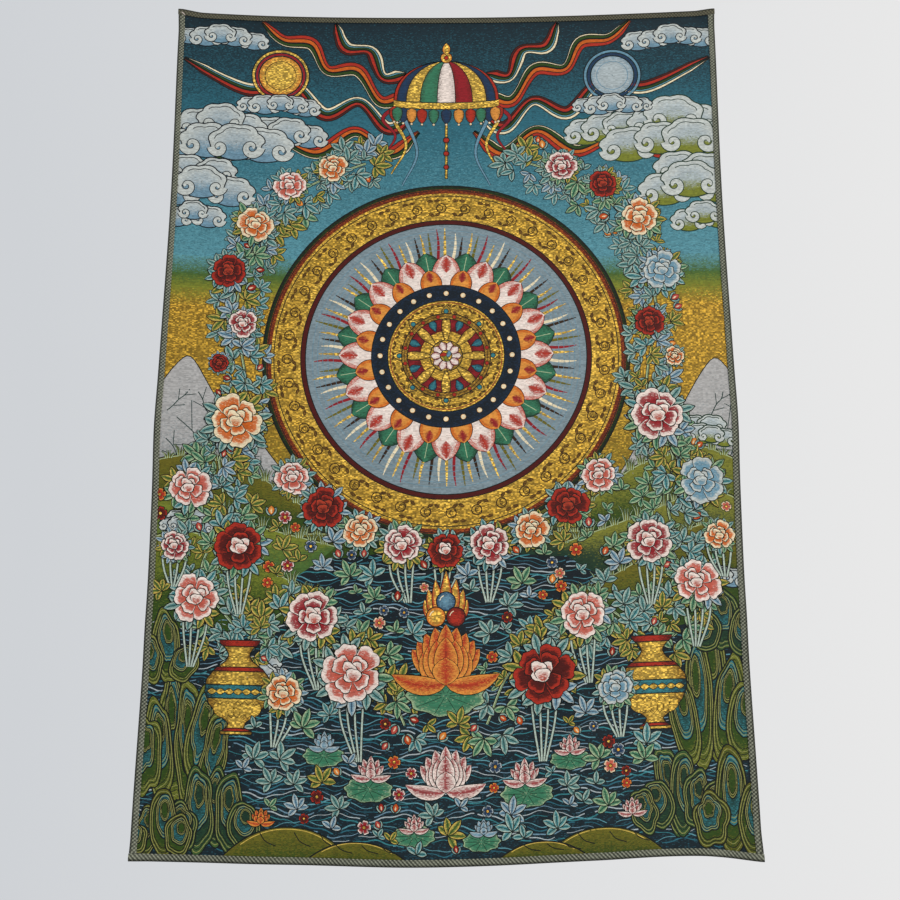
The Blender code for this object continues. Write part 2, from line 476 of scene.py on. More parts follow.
# %% Splitting long faces
def refined(figure):
    """The figure with each long edge halved until none is longer than the limit there."""
    points, faces, first, second, tone, level = figure
    while True:
        triangles = points[faces]
        edges = np.linalg.norm(np.roll(triangles, -1, axis=1) - triangles, axis=2)
        split = edges.max(1) > edge_limit[cells_at(triangles.mean(1))]
        if not split.any():
            return Figure(points, faces, first, second, tone, level)
        face, longest = faces[split], edges[split].argmax(1)
        row = np.arange(len(face))
        a, b, c = (face[row, (longest + k) % 3] for k in range(3))
        middle = len(points) + row
        points = np.vstack([points, (points[a] + points[b]) / 2])
        first = np.vstack([first, (first[a] + first[b]) / 2])
        second = np.vstack([second, (second[a] + second[b]) / 2])
        tone = np.concatenate([tone, (tone[a] + tone[b]) / 2])
        level = np.concatenate([level, level[a]])
        halves = [np.stack(corner, 1) for corner in ((a, middle, c), (middle, b, c))]
        faces = np.vstack([faces[~split], *halves])


# %% Laying a figure
def spots_in(count):
    """Even places inside a triangle, as shares of its three corners."""
    i, j = np.mgrid[0 : count + 1, 0 : count + 1]
    inside = i + j <= count
    return np.stack([i[inside], j[inside], count - i[inside] - j[inside]], 1) / count


FEW_SPOTS, MANY_SPOTS = spots_in(3), spots_in(7)


def lay(family, figure, at=(0, 0), turn=0.0, size=1.0, mirror=False, ground=False):
    """Lays a figure on top of what is there and keeps it with its family of pieces. Each
    corner goes one level above the highest thing under its faces."""
    figure = refined(moved(figure, at, turn, size, mirror))
    points = figure.points.copy()
    points[:, 0] = np.clip(points[:, 0], -FIELD_RIGHT, FIELD_RIGHT)
    points[:, 1] = np.clip(points[:, 1], FIELD_BOTTOM, FIELD_TOP)
    faces = figure.faces[np.argsort(figure.level[figure.faces[:, 0]], kind="stable")]
    a, b, c = (points[faces[:, k]] for k in range(3))
    area = ((b - a)[:, 0] * (c - a)[:, 1] - (b - a)[:, 1] * (c - a)[:, 0]) / 2
    faces = np.where((area < 0)[:, None], faces[:, ::-1], faces)[np.abs(area) > SLIVER]
    if len(faces) == 0:
        return
    reach = np.abs(points[faces[:, 0]] - points[faces[:, 1]]).max()
    spots = FEW_SPOTS if reach < 3 * CELL else MANY_SPOTS
    cells = cells_at(np.einsum("sk,fkd->fsd", spots, points[faces]))
    inner_level = figure.level[faces[:, 0]]
    level = np.zeros(len(points), int)
    for step in np.unique(inner_level):
        chosen = inner_level == step
        here, corners = cells[chosen], faces[chosen]
        lowest = stacked[here].max(1) + 1
        np.maximum.at(level, corners.ravel(), np.repeat(lowest, 3))
        highest = level[corners].max(1)
        np.maximum.at(stacked, here.ravel(), np.repeat(highest, here.shape[1]))
    if not ground:
        covered[cells] = True
    share = figure.tone[:, None]
    colour = (figure.first * (1 - share) + figure.second * share)[faces].mean(1)
    top_colour[cells] = colour[:, None, :]
    laid.setdefault(family, []).append(figure._replace(points=points, faces=faces, level=level))


def is_free(place, radius):
    """True where nothing but the ground has been laid."""
    around = np.array(((0, 0), (radius, 0), (-radius, 0), (0, radius), (0, -radius)))
    return not covered[cells_at(np.asarray(place) + around)].any()


# %% [markdown]
# ## The ground
# Behind all figures the cloth changes colour in zones: a night-blue sky that grows lighter
# towards a green strip at the horizon, a plain of gilt yarn, green hills and dark water. The
# sky is made of bands, so that two yarns at a time can share each step of its fade.

# %% Sky, gilt plain and water
HORIZON = -324.0
PLAIN_END = -560.0
WATER_TOP = -590.0
GROUND_STEP = 6.0
CLEAR_LEVELS = 3


def ground_zone(top, bottom, yarns, tone_top, tone_bottom):
    """A band of ground from side to side."""
    heights = np.linspace(top, bottom, max(2, int((top - bottom) / GROUND_STEP) + 1))
    across = np.linspace(-FIELD_RIGHT, FIELD_RIGHT, int(2 * FIELD_RIGHT / GROUND_STEP))
    rows = np.stack(np.meshgrid(heights, across, indexing="ij")[::-1], -1)
    return weave(rows, yarns, np.linspace(tone_top, tone_bottom, len(heights)))


lay("ground", joined([
    ground_zone(FIELD_TOP, -70, ("night", "teal"), 0.0, 0.35),
    ground_zone(-70, -130, ("night", "teal"), 0.35, 1.0),
    ground_zone(-130, HORIZON + 34, ("teal", "sky"), 0.0, 0.85),
    ground_zone(HORIZON + 34, HORIZON + 14, ("sky", "green"), 0.15, 0.95),
    ground_zone(HORIZON + 14, HORIZON, ("green", "meadow"), 0.0, 1.0),
    ground_zone(HORIZON, HORIZON - 22, ("meadow", "gold"), 0.0, 0.95),
    ground_zone(HORIZON - 22, -430, ("gold", "olive"), 0.05, 0.1),
    ground_zone(-430, PLAIN_END, ("gold", "olive"), 0.1, 0.7),
    ground_zone(PLAIN_END, WATER_TOP, ("olive", "pine"), 0.3, 1.0),
    ground_zone(WATER_TOP, FIELD_BOTTOM, ("navy", "teal"), 0.0, 0.12),
]), ground=True)
stacked += CLEAR_LEVELS
print("ground faces:", sum(len(f.faces) for f in laid["ground"]))

# %% [markdown]
# ## Snow peaks on the horizon
# The peaks are pale and flat, with a dark outline and a few branching cracks. Each one is a
# strip between its skyline and its foot. A seeded random generator bends the cracks, so the
# scene comes out the same on every run.

# %% Peaks
OUTLINE = 0.95
Peak = namedtuple("Peak", "x width height lean")
PEAKS = (
    Peak(-212, 118, 74, -4),
    Peak(-271, 176, 136, 2),
    Peak(226, 112, 88, 3),
    Peak(281, 168, 134, 0),
)
PEAK_FOOT = -536.0
CRACKS = (
    (-50, 0.80, -0.09, 0.34), (-124, 0.30, 0.05, 0.22), (-56, 0.42, -0.13, 0.58),
    (-128, 0.50, 0.20, 0.48), (-58, 0.34, 0.03, 0.24), (-130, 0.30, 0.06, 0.72),
    (-62, 0.30, -0.26, 0.66), (-48, 0.44, 0.08, 0.50),
)


def crack(start, turn, length, rng):
    """A thin dark crack with two or three branches."""
    steps = 5
    angle = math.radians(turn) + rng.uniform(-0.35, 0.35, steps)
    path = np.cumsum(headings(angle) * length / steps, 0) + start
    figures = [line(curve(path, 2.0), 1.0, "leaf shade", level=2)]
    for k, side in ((1, 1), (2, -1), (3, 1)):
        bend = angle[k] + math.pi - side * 0.8
        tip = path[k] + length * 0.30 * np.array((math.cos(bend), math.sin(bend)))
        figures.append(line(np.linspace(path[k], tip, 4), 0.8, "leaf shade", level=2))
    return joined(figures)


def snow_peak(peak, seed):
    rng = np.random.default_rng(seed)
    t = np.linspace(-1, 1, 25)
    t = np.sign(t) * np.abs(t) ** 1.5
    rise = (1 - (np.sqrt(t**2 + 0.006) - 0.077) / 0.926) ** 1.12
    rough = np.interp(t, np.linspace(-1, 1, 9), rng.uniform(-0.04, 0.05, 9)) * (1 - t**2)
    x = peak.x + t * peak.width / 2 + peak.lean * rise
    y = PEAK_FOOT + (rise + rough) * peak.height
    foot = np.stack([x, np.full_like(x, PEAK_FOOT - 1)], 1)
    skyline = np.stack([x, y], 1)
    rows = [foot + (skyline - foot) * share for share in (0, 0.4, 0.8, 1)]
    figures = [
        weave(rows, ("stone", "slate"), (0.45, 0.16, 0.04, 0.0)),
        line(skyline, OUTLINE, "ink", level=1),
    ]
    apex = skyline[12]
    for turn, share, aside, drop in CRACKS:
        start = apex + (peak.width * aside, -peak.height * drop)
        figures.append(crack(start, turn, peak.height * share, rng))
    return joined(figures)


for seed, peak in enumerate(PEAKS):
    lay("snow_peaks", snow_peak(peak, seed), ground=True)
print(len(PEAKS), "snow peaks")

# %% [markdown]
# ## Water
# The water is night-blue with pale wavy lines. The lines run in bunches and swell over one
# another, row upon row, as in a wave pattern on a robe.

# %% Water lines
WAVE_PITCH = 3.9
SWELL_LENGTH = 66.0
WAVE_YARNS = ("sky", "teal", "mist", "cloud", "turquoise")


def water_lines(seed):
    rng = np.random.default_rng(seed)
    figures = []
    for row, y in enumerate(np.arange(WATER_TOP - 4, FIELD_BOTTOM, -WAVE_PITCH)):
        shift = 31.0 * (row // 5)
        x = -FIELD_RIGHT
        while x < FIELD_RIGHT:
            stop = min(x + rng.uniform(40, 110), FIELD_RIGHT)
            s = np.arange(x, stop, 3.4)
            if len(s) > 3:
                swell = 6.5 * np.abs(np.sin((s + shift) * math.pi / SWELL_LENGTH)) ** 1.4
                ripple = 0.9 * np.sin(s / 3.4 + row * 1.3)
                width = 0.85 + 0.35 * np.sin(s / 17 + row)
                name = WAVE_YARNS[row % 5]
                figures.append(line(np.stack([s, y + swell + ripple], 1), width, name))
            x = stop + rng.uniform(3, 9)
    return joined(figures)


lay("water", water_lines(3), ground=True)
print("water faces:", len(laid["water"][0].faces))

# %% [markdown]
# ## Hills and grass
# Below the gilt plain the land rolls in low green hills. A hill is a strip that hangs from
# its own skyline: pale along the crest, darker below. Grass tufts are fans of thin blades.

# %% Hills
Hill = namedtuple("Hill", "crest depth yarns")
HILLS = (
    Hill(((0, -568), (-60, -574), (-110, -582), (-170, -590), (-230, -640), (-292, -660)),
         30, GRASSY),
    Hill(((0, -568), (60, -574), (110, -582), (170, -590), (230, -640), (292, -660)),
         30, ("olive", "pine")),
    Hill(((-296, -512), (-262, -506), (-226, -512), (-190, -526), (-130, -566)), 110, GRASSY),
    Hill(((296, -512), (258, -500), (222, -510), (186, -524), (128, -568)), 110, ("lime", "moss")),
    Hill(((-296, -546), (-270, -552), (-236, -558), (-200, -574), (-110, -596)),
         100, ("meadow", "green")),
    Hill(((296, -552), (266, -544), (232, -556), (196, -570), (108, -598)), 100, ("lime", "pine")),
    Hill(((-296, -590), (-262, -584), (-224, -596), (-190, -614), (-120, -650)),
         100, ("meadow", "moss")),
    Hill(((296, -588), (262, -580), (226, -596), (194, -616), (118, -654)), 100, GRASSY),
)


def hill(form):
    crest = curve(form.crest, GROUND_STEP)
    depth = form.depth * (1 - np.linspace(0, 1, len(crest)) ** 2.2)
    drop = np.stack([np.zeros(len(crest)), depth], 1)
    rows = [crest - drop * share for share in (0, 0.08, 0.3, 0.6, 1.0)]
    return joined(
        [
            weave(rows, form.yarns, (0.0, 0.1, 0.45, 0.9, 1.0)),
            line(crest - (0, 1.5), 0.7, "leaf light", level=1),
            line(crest, OUTLINE, "ink", level=2),
        ]
    )


TUFT_BLADES = 7


def grass(seed, height):
    """A tuft of thin pale blades."""
    rng = np.random.default_rng(seed)
    figures = []
    for k in range(TUFT_BLADES):
        lean = (k / (TUFT_BLADES - 1) - 0.5) * 9 + rng.uniform(-1, 1)
        tall = height * rng.uniform(0.7, 1.1)
        foot = k - TUFT_BLADES / 2
        path = curve([(foot, 0), (foot + lean * 0.3, tall * 0.6), (foot + lean, tall)], 2.0)
        width = np.linspace(1.3, 0.2, len(path))
        figures.append(line(path, width + 0.7, "pine"))
        figures.append(line(path, width * 0.7, ("leaf light", "lime")[k % 2], level=1))
    return joined(figures)


for form in HILLS:
    lay("hills", hill(form), ground=True)
    crest = curve(form.crest, 13)
    for k, place in enumerate(crest[1:-1]):
        lay("hills", grass(k, 8 + 3 * (k % 3)), at=place - (0, 2), ground=True)
print(len(HILLS), "hills")

# %% [markdown]
# ## Clouds
# Thangka clouds are heaps of round puffs. Each has a pale scalloped cap whose two ends curl
# inwards, over a blue or green body. A bank lays its back row first and its front row last,
# and the middle puff of each row on top, so that the puffs overlap like scales.


# %% Discs, rings and blades
ROUND_TONES = (0.0, 0.05, 0.35, 1.0)
ROUND_SHARES = (0.02, 0.5, 0.8, 1.0)


def disc(radius, yarns, tones=ROUND_TONES):
    """A round patch whose tone changes from the middle to the rim."""
    rim = circle(radius)
    return weave([rim * share for share in ROUND_SHARES], yarns, tones, closed=True)


def rings(*specs, level=0):
    """Thin rings round one centre. Each has a radius, a width and a yarn."""
    return joined([line(circle(radius), width, name, closed=True, level=level)
                   for radius, width, name in specs])


def button(radius, yarns, corners=None, width=OUTLINE, tones=ROUND_TONES):
    """A disc with a dark outline."""
    rim = line(circle(radius, corners), width, "ink", closed=True, level=1)
    return joined([disc(radius, yarns, tones), rim])


WIDE_BLADE = 12.0


def blade(length, width, yarns, bend=0.0, widest=0.45, fullness=1.0, count=9,
          tones=(0.75, 0.2, 0.0, 0.1, 0.4), outline="ink", vein=None, outline_width=OUTLINE):
    """A pointed strip along a bent spine, from the origin towards +x: a leaf, petal or flame.
    Its outline is a slightly larger dark strip beneath it."""
    s = np.linspace(0, 1, count)
    angle = bend * s
    step = length / (count - 1)
    ahead = headings(angle)
    side = left_of(ahead)
    spine = np.cumsum(ahead, 0) * step
    spine -= spine[0]
    half = width / 2 * np.sin(np.pi * s ** (math.log(0.5) / math.log(widest))) ** (1 / fullness)
    half[0] = half[-1] = 0.02 * width
    rows = [spine + side * half[:, None] * share for share in np.linspace(1, -1, len(tones))]
    figures = []
    if outline:
        border = outline_width * 0.8
        long_spine = spine.copy()
        long_spine[0] -= ahead[0] * border
        long_spine[-1] += ahead[-1] * border
        wide = side * (half + border)[:, None]
        wide[0], wide[-1] = wide[0] * 0.5, wide[-1] * 0.5
        if width < WIDE_BLADE:
            figures.append(weave([long_spine + wide, long_spine - wide], (outline,), 0.0))
        else:
            figures += [weave([long_spine + wide * a, long_spine + wide * b], (outline,), 0.0)
                        for a, b in ((1.0, 0.6), (-0.6, -1.0))]
    figures.append(weave(rows, yarns, tones, level=1))
    if vein:
        figures.append(line(spine[: count - 1], 0.7, vein, level=2))
    return joined(figures)


# %% Cloud puffs and banks
CloudYarns = namedtuple("CloudYarns", "cap body foot edge")
BLUE_CLOUD = CloudYarns("cloud cap", "cloud", "mist", "navy")
GREEN_CLOUD = CloudYarns("cloud cap", "cloud", "meadow", "pine")


PUFF_SHAPE = (1.2, 0.85)


def puff_rim(turn, radius):
    """The scalloped edge of a puff at each angle."""
    scallops = np.where(np.sin(turn) > -0.1, 0.13 * np.abs(np.sin(3.5 * turn + 0.4)), 0.03)
    return headings(turn) * PUFF_SHAPE * radius * (0.95 + scallops)[:, None]


def cloud_lobe(radius, yarns):
    """One puff of a cloud: a pale cap whose two ends curl inwards, over a darker body."""
    turn = whole_turn(44)
    rim = puff_rim(turn, radius)
    shares = (0.02, 0.6, 1.0)
    depth = np.array([np.clip(0.15 - 2.4 * np.sin(turn) * share, 0, 1) for share in shares])
    arc = puff_rim(np.linspace(-0.3, math.pi + 0.3, 30), radius)
    figures = [
        weave([rim * share for share in shares], (yarns.body, yarns.foot), depth, closed=True),
        weave([arc, arc * 0.75, arc * 0.4], (yarns.cap, yarns.body), (0.0, 0.3, 1.0), level=1),
        line(arc[4:-9] * 0.78, 0.9, yarns.edge, level=2),
        line(rim, 1.3, yarns.edge, closed=True, level=2),
    ]
    for side, size in ((-1, 0.42), (1, 0.34)):
        curl = spiral(radius * size, turns=1.05, inner=0.15) * (-side, 1)
        curl = curl + (side * radius * (1.12 - size), -0.25 * radius)
        thick = np.linspace(0.34, 0.12, len(curl)) * radius
        figures.append(line(curl, thick + 1.9, yarns.edge, level=3))
        figures.append(line(curl, thick, yarns.cap, level=4))
    return joined(figures)


Bank = namedtuple("Bank", "x y width rows radius yarns seed")


def cloud_bank(bank):
    """A heap of puffs that is widest at its foot, the middle one in front."""
    rng = np.random.default_rng(bank.seed)
    rows, radius = bank.rows, bank.radius
    for row in range(rows):
        high = (rows - 1 - row) / max(rows - 1, 1)
        span = bank.width * (1 - 0.5 * high)
        count = max(2, int(round(span / (radius * 1.3))) + 1)
        for k in middle_last(count):
            share = k / (count - 1) - 0.5
            x = bank.x + share * span + rng.uniform(-2, 2)
            rise = high * radius * 0.95 * (rows - 1) - abs(share) * radius * 0.8
            place = (x, bank.y + rise + rng.uniform(-2, 2))
            size = radius * (1 - 0.35 * abs(share) ** 1.5) * rng.uniform(0.85, 1.15)
            lay("clouds", cloud_lobe(size, bank.yarns), place, mirror=share > 0)


BANKS = (
    Bank(-252, -26, 72, 1, 15, BLUE_CLOUD, 1),
    Bank(250, -28, 72, 1, 15, BLUE_CLOUD, 2),
    Bank(-182, -138, 62, 1, 19, BLUE_CLOUD, 3),
    Bank(184, -136, 64, 1, 19, GREEN_CLOUD, 4),
    Bank(-248, -152, 100, 2, 25, BLUE_CLOUD, 5),
    Bank(250, -150, 100, 2, 25, GREEN_CLOUD, 6),
    Bank(-266, -204, 62, 2, 23, BLUE_CLOUD, 12),
    Bank(268, -204, 62, 2, 23, GREEN_CLOUD, 13),
    Bank(-276, -240, 36, 1, 15, BLUE_CLOUD, 9),
    Bank(278, -244, 36, 1, 16, GREEN_CLOUD, 10),
    Bank(264, -486, 40, 2, 12, GREEN_CLOUD, 21),
    Bank(-264, -576, 36, 2, 11, BLUE_CLOUD, 22),
    Bank(268, -630, 40, 1, 12, BLUE_CLOUD, 23),
    Bank(-184, -722, 36, 2, 12, BLUE_CLOUD, 24),
)

# %% [markdown]
# ## Sun, moon and rainbow ribbons
# The sun is a gilt disc and the moon a pearl one, each inside coloured rings. Striped ribbons
# stream between them. A stripe is the ribbon's path, shifted sideways.


# %% Sun, moon and ribbons
ORB_RADIUS = 24.0


def orb(yarns, inner, rim, outer):
    """The sun or the moon: a disc inside rings of two yarns, with an inner ring on it."""
    shares = ((0.72, 0.8, inner), (1.0, 1.2, "ink"), (1.09, 2.4, rim), (1.17, 0.9, "ink"),
              (1.25, 2.4, outer), (1.33, 1.0, "ink"))
    specs = [(ORB_RADIUS * share, width, name) for share, width, name in shares]
    return joined([disc(ORB_RADIUS, yarns, (0.0, 0.0, 0.2, 0.7)), rings(*specs, level=1)])


def ribbon(path, width, stripes):
    """Stripes side by side along a path, with dark outlines, tapered to both ends. A stripe
    is a yarn and its share of the width."""
    path = curve(path, 3.5)
    side = left_of(np.gradient(path, axis=0))
    side /= np.linalg.norm(side, axis=1)[:, None]
    s = np.linspace(0, 1, len(path))
    full = width * np.minimum(1, np.minimum(s, 1 - s) * 9 + 0.25)[:, None]
    full = full * (1 + 0.16 * np.sin(s * 19))[:, None]
    edges = 0.5 - np.cumsum([0, *(share for _, share in stripes)])
    figures = []
    for upper, lower, (name, _) in zip(edges, edges[1:], stripes):
        figures.append(weave([path + side * full * upper, path + side * full * lower], (name,), 0.0))
    for share in edges:
        figures.append(line(path + side * full * share, 1.0, "ink", level=1))
    return joined(figures)


RED_RIBBON = (("cream", 0.12), ("moss", 0.24), ("ink", 0.06), ("orange", 0.30), ("red", 0.28))
BLUE_RIBBON = (("maroon", 0.16), ("red", 0.26), ("ink", 0.06), ("moss", 0.18), ("sky", 0.14),
               ("cream", 0.20))
RIBBON_WIDTH = 14.0
RIBBON_PATHS = (
    (((30, -140), (62, -166), (100, -140), (142, -166), (190, -150), (240, -172), (292, -160)),
     RED_RIBBON),
    (((34, -118), (64, -136), (96, -104), (134, -120), (170, -84), (222, -92), (292, -58)),
     BLUE_RIBBON),
    (((40, -92), (72, -104), (98, -66), (132, -66), (150, -34), (182, -30), (206, -8)), RED_RIBBON),
    (((44, -70), (70, -74), (84, -42), (112, -38), (124, -8)), BLUE_RIBBON),
)
for path, stripes in RIBBON_PATHS:
    for side in (1, -1):
        lay("ribbons", ribbon([(side * x, y) for x, y in path], RIBBON_WIDTH, stripes))
for bank in BANKS:
    cloud_bank(bank)
lay("sky_orbs", orb(FLAME, "umber", "crimson", "bright gold"), at=(-184, -74))
lay("sky_orbs", orb(("cloud", "mist"), "mist", "royal", "powder"), at=(184, -76))
cloud_bank(Bank(-184, -106, 62, 1, 13, BLUE_CLOUD, 11))
cloud_bank(Bank(184, -108, 62, 1, 13, BLUE_CLOUD, 12))
print("cloud figures:", len(laid["clouds"]))

# %% [markdown]
# ## The wheel medallion
# The middle of the cloth holds a round medallion: a gilt rim with brown scrolls, a pale disc
# with fine rays, a ring of lotus petals, a night-blue ring with pearls, and an eight-spoked
# wheel. All of it repeats round one centre, so loops draw it.

# %% Medallion parts
MEDALLION_AT = (0.0, -396.0)
RIM = 188.0
GILT_INNER = RIM - 36
DISC_RADIUS = RIM - 42
HEART = 0.5


def lay_medallion(figure):
    lay("medallion", figure, at=MEDALLION_AT)


def lay_band(inner, outer, yarns, tones):
    """Lays a ring-shaped band between two radii."""
    steps = max(2, int((outer - inner) / GROUND_STEP) + 1)
    rim = circle(1.0, count=int(2 * math.pi * outer / 3.2))
    tone = np.interp(np.linspace(0, 1, steps), np.linspace(0, 1, len(tones)), tones)
    radii = np.linspace(inner, outer, steps)
    lay_medallion(weave([rim * radius for radius in radii], yarns, tone, closed=True))


def around(figure, count, radius, start=0.0, level_pairs=False):
    """Copies of a figure at even places round a circle, each turned outwards."""
    copies = []
    highest = figure.level.max() + 1
    for k in evens_first(count):
        turn = start + 360 * k / count
        level = highest * (k % 2) if level_pairs else 0
        copies.append(moved(figure, radius * heading(turn), turn, level=level))
    return joined(copies)


def scroll_pair(radius, width, yarn_name):
    """Two coils that turn away from each other on one stalk."""
    coil = spiral(radius, 1.4, 0.12) + (radius, 0)
    taper = np.linspace(width, width * 0.5, len(coil))
    return joined([line(coil, taper, yarn_name), line(coil * (1, -1), taper, yarn_name)])


lay_band(RIM - 4, RIM + 4, ("moss", "ink"), (0, 0, 1))
lay_band(RIM - 8, RIM, ("orange", "maroon"), (0.8, 0, 0.8))
lay_band(GILT_INNER, RIM - 5, PALE_GILT, (0.4, 0.9, 0.6))
lay_medallion(rings((RIM + 4, OUTLINE, "ink"), (RIM - 1, 0.8, "ink"), (RIM - 8, OUTLINE, "ink")))
SCROLLS = 40
lay_medallion(around(moved(scroll_pair(6.2, 1.1, "umber"), turn=90), SCROLLS, RIM - 22))
rim_leaf = blade(7.5, 3.6, ("old gold", "umber"), widest=0.5, fullness=1.3, count=7,
                 tones=(0.9, 0.4, 0.9), outline=None)
for turn, reach in ((90, RIM - 13), (-90, RIM - 13), (60, RIM - 31), (-60, RIM - 31)):
    lay_medallion(around(moved(rim_leaf, turn=turn), SCROLLS, reach, 4.5))
lay_band(DISC_RADIUS, GILT_INNER, ("maroon", "crimson"), (0, 1, 0))
lay_band(HEART, DISC_RADIUS + 1, ("disc", "pearl"), (1.0, 0.4, 0.1, 0.0))
lay_medallion(rings((GILT_INNER, OUTLINE, "ink"), (DISC_RADIUS + 1, OUTLINE, "ink")))


# %% Rays of light
def ray(start, end, width, yarn_name, bend):
    """A long thin tongue of light."""
    s = np.linspace(0, 1, max(6, int((end - start) / 4)))
    path = np.stack([start + (end - start) * s, bend * np.sin(s * math.pi * 2)], 1)
    return line(path, width * np.sin(np.pi * np.clip(s, 0.03, 0.97)) ** 0.6, yarn_name)


RAY_COUNT = 96
RAY_YARNS = ("bright gold", "crimson", "olive", "bright gold", "umber", "cream")
rng = np.random.default_rng(5)
rays = []
for k in range(RAY_COUNT):
    reach = DISC_RADIUS - 3 - rng.uniform(0, 12)
    figure = ray(84, reach, 3.1, RAY_YARNS[k % 6], bend=k % 2)
    rays.append(moved(figure, turn=360 * (k + rng.uniform(-0.2, 0.2)) / RAY_COUNT))
lay_medallion(joined(rays))
lay_medallion(rings(*((radius, 0.45, "powder") for radius in np.arange(118, DISC_RADIUS - 2, 5.5))))
print(RAY_COUNT, "rays")


# %% Lotus petals and the night-blue ring
def lotus_petal(length, width, yarns=("blush", "rose"), tip="red"):
    """A broad petal with a pale body, a coloured tip and an inner contour."""
    body = blade(length, width, yarns, widest=0.5, fullness=1.9, count=13,
                 tones=(0.9, 0.25, 0.0, 0.25, 0.9))
    flame = blade(length * 0.42, width * 0.5, (tip, yarns[0]), widest=0.5, fullness=1.2,
                  tones=(0.9, 0.2, 0.0, 0.2, 0.9), outline=None)
    inner = blade(length * 0.86, width * 0.78, yarns, widest=0.5, fullness=1.9, count=13,
                  tones=(0.3, 0.05, 0.0, 0.05, 0.3), outline=yarns[1], outline_width=0.6)
    return joined([
        body,
        moved(inner, (length * 0.03, 0), level=3),
        moved(flame, (length * 0.55, 0), level=6),
    ])


PETALS = 16
HALF_STEP = 360 / PETALS / 2
NIGHT_INNER, NIGHT_OUTER = 60, 78
back_petal = blade(46, 30, ("malachite", "pine"), widest=0.55, fullness=1.6, count=12,
                   tones=(0.9, 0.3, 0.0, 0.3, 0.9), vein="leaf light")
lay_medallion(around(back_petal, PETALS, 70, HALF_STEP))
lay_medallion(around(lotus_petal(44, 30), PETALS, 68, level_pairs=True))
front_petal = lotus_petal(30, 22, ("amber", "orange"), "crimson")
lay_medallion(around(front_petal, PETALS, 66, HALF_STEP, level_pairs=True))
lay_band(NIGHT_INNER, NIGHT_OUTER, ("royal", "navy"), (0.6, 1.0, 0.6))
pearl = button(3.0, ("cream", "amber"), 12, 0.6, (0, 0, 0.4, 1.0))
lay_medallion(around(pearl, 24, (NIGHT_INNER + NIGHT_OUTER) / 2))
lay_band(HEART, NIGHT_INNER + 1, ("gold", "bright gold"), (0.8, 0.2, 0.5))
lay_medallion(rings((NIGHT_OUTER, OUTLINE, "ink"), (NIGHT_INNER + 1, OUTLINE, "ink"),
                    (NIGHT_INNER - 1.5, 0.8, "crimson")))
for count, radius, turn in ((30, 54, 60), (30, 54, -60), (24, 48, 90)):
    lay_medallion(around(moved(rim_leaf, turn=turn, size=0.75), count, radius))
lay_band(27, 43, ("crimson", "maroon"), (0.9, 0.2, 0.7))

# %% The wheel
SPOKES = 8
WHEEL_RADIUS = 43.5
WHEEL_HALF = 3.0
spoke = joined([
    blade(34, 9.0, GILT, widest=0.62, fullness=1.3, count=12, tones=(0.9, 0.1, 0.0, 0.6)),
    moved(blade(15, 9.5, GILT, widest=0.4, fullness=1.5), (28, 0), level=3),
    moved(button(2.6, LAGOON, 12, 0.6), (37, 0), level=6),
])
gap_leaf = blade(13, 7.5, LAGOON, widest=0.6, fullness=1.4, tones=(0.8, 0.1, 0.8))
lay_medallion(around(gap_leaf, SPOKES, 29, 22.5))
lay_medallion(around(spoke, SPOKES, 12))
lay_band(WHEEL_RADIUS - WHEEL_HALF, WHEEL_RADIUS + WHEEL_HALF, GILT, (0.8, 0.0, 0.8))
lay_medallion(rings((WHEEL_RADIUS + WHEEL_HALF, OUTLINE, "ink"),
                    (WHEEL_RADIUS - WHEEL_HALF, 0.8, "ink"), (WHEEL_RADIUS, 0.6, "umber")))
lay_medallion(around(button(2.2, RUBY, 10, 0.5), SPOKES * 2, WHEEL_RADIUS, 11.25))
lay_medallion(button(17, GILT, tones=(0, 0, 0.2, 0.8)))
hub_petal = blade(11, 8.0, PINK, widest=0.6, fullness=1.6, tones=(1, 0.2, 0, 0.2, 1))
lay_medallion(around(hub_petal, 10, 4.5, level_pairs=True))
lay_medallion(button(6.2, PALE_GILT))
for turn, yarns in ((0, SAPPHIRE), (120, RUBY), (240, ("lime", "moss"))):
    swirl = blade(7.5, 4.4, yarns, bend=2.0, widest=0.4, fullness=1.5, count=9, outline_width=0.5)
    lay_medallion(moved(swirl, turn=turn))
print("medallion figures:", len(laid["medallion"]))

# %% [markdown]
# ## Leaves and flowering vines
# Two vines rise from vases beside the medallion. Their leaves grow in sprays of five or three,
# each leaf with a pale edge, a blue-green body, a dark vein and a dark outline. A field of sprays
# is set out on a jittered grid along the vine, and each spray points away from the stem.

# %% Leaves and sprays
LEAF_SETS = (
    (("foam", "leaf"), "leaf shade"),
    (("foam", "turquoise"), "leaf shade"),
    (("cloud cap", "powder"), "royal"),
    (("leaf light", "malachite"), "pine"),
    (("leaf tip", "green"), "moss"),
)


def leaf(length, width, yarns, vein, bend):
    return blade(length, width, yarns, bend, widest=0.52, fullness=1.5, count=6,
                 tones=(0.0, 0.78, 1.0, 0.0), vein=vein, outline_width=1.15)


def spray(size, colours, seed, count=5, spread=84):
    """Leaves that fan out from one point, the middle one in front."""
    rng = np.random.default_rng(seed)
    yarns, vein = colours
    figures = []
    order = middle_last(count)
    for rank, k in enumerate(order):
        side = 2 * k / (count - 1) - 1
        length = size * (1 - 0.22 * abs(side)) * rng.uniform(0.88, 1.12)
        one = leaf(length, size * 0.37, yarns, vein, bend=0.55 * side)
        figures.append(moved(one, turn=side * spread + rng.uniform(-6, 6), level=3 * rank))
    return joined(figures)


SPRAYS = [[spray(17.5, colours, seed) for seed in range(3)] for colours in LEAF_SETS]
SMALL_SPRAYS = [[spray(13.0, colours, seed, count=3, spread=52) for seed in range(3, 5)]
                for colours in LEAF_SETS]


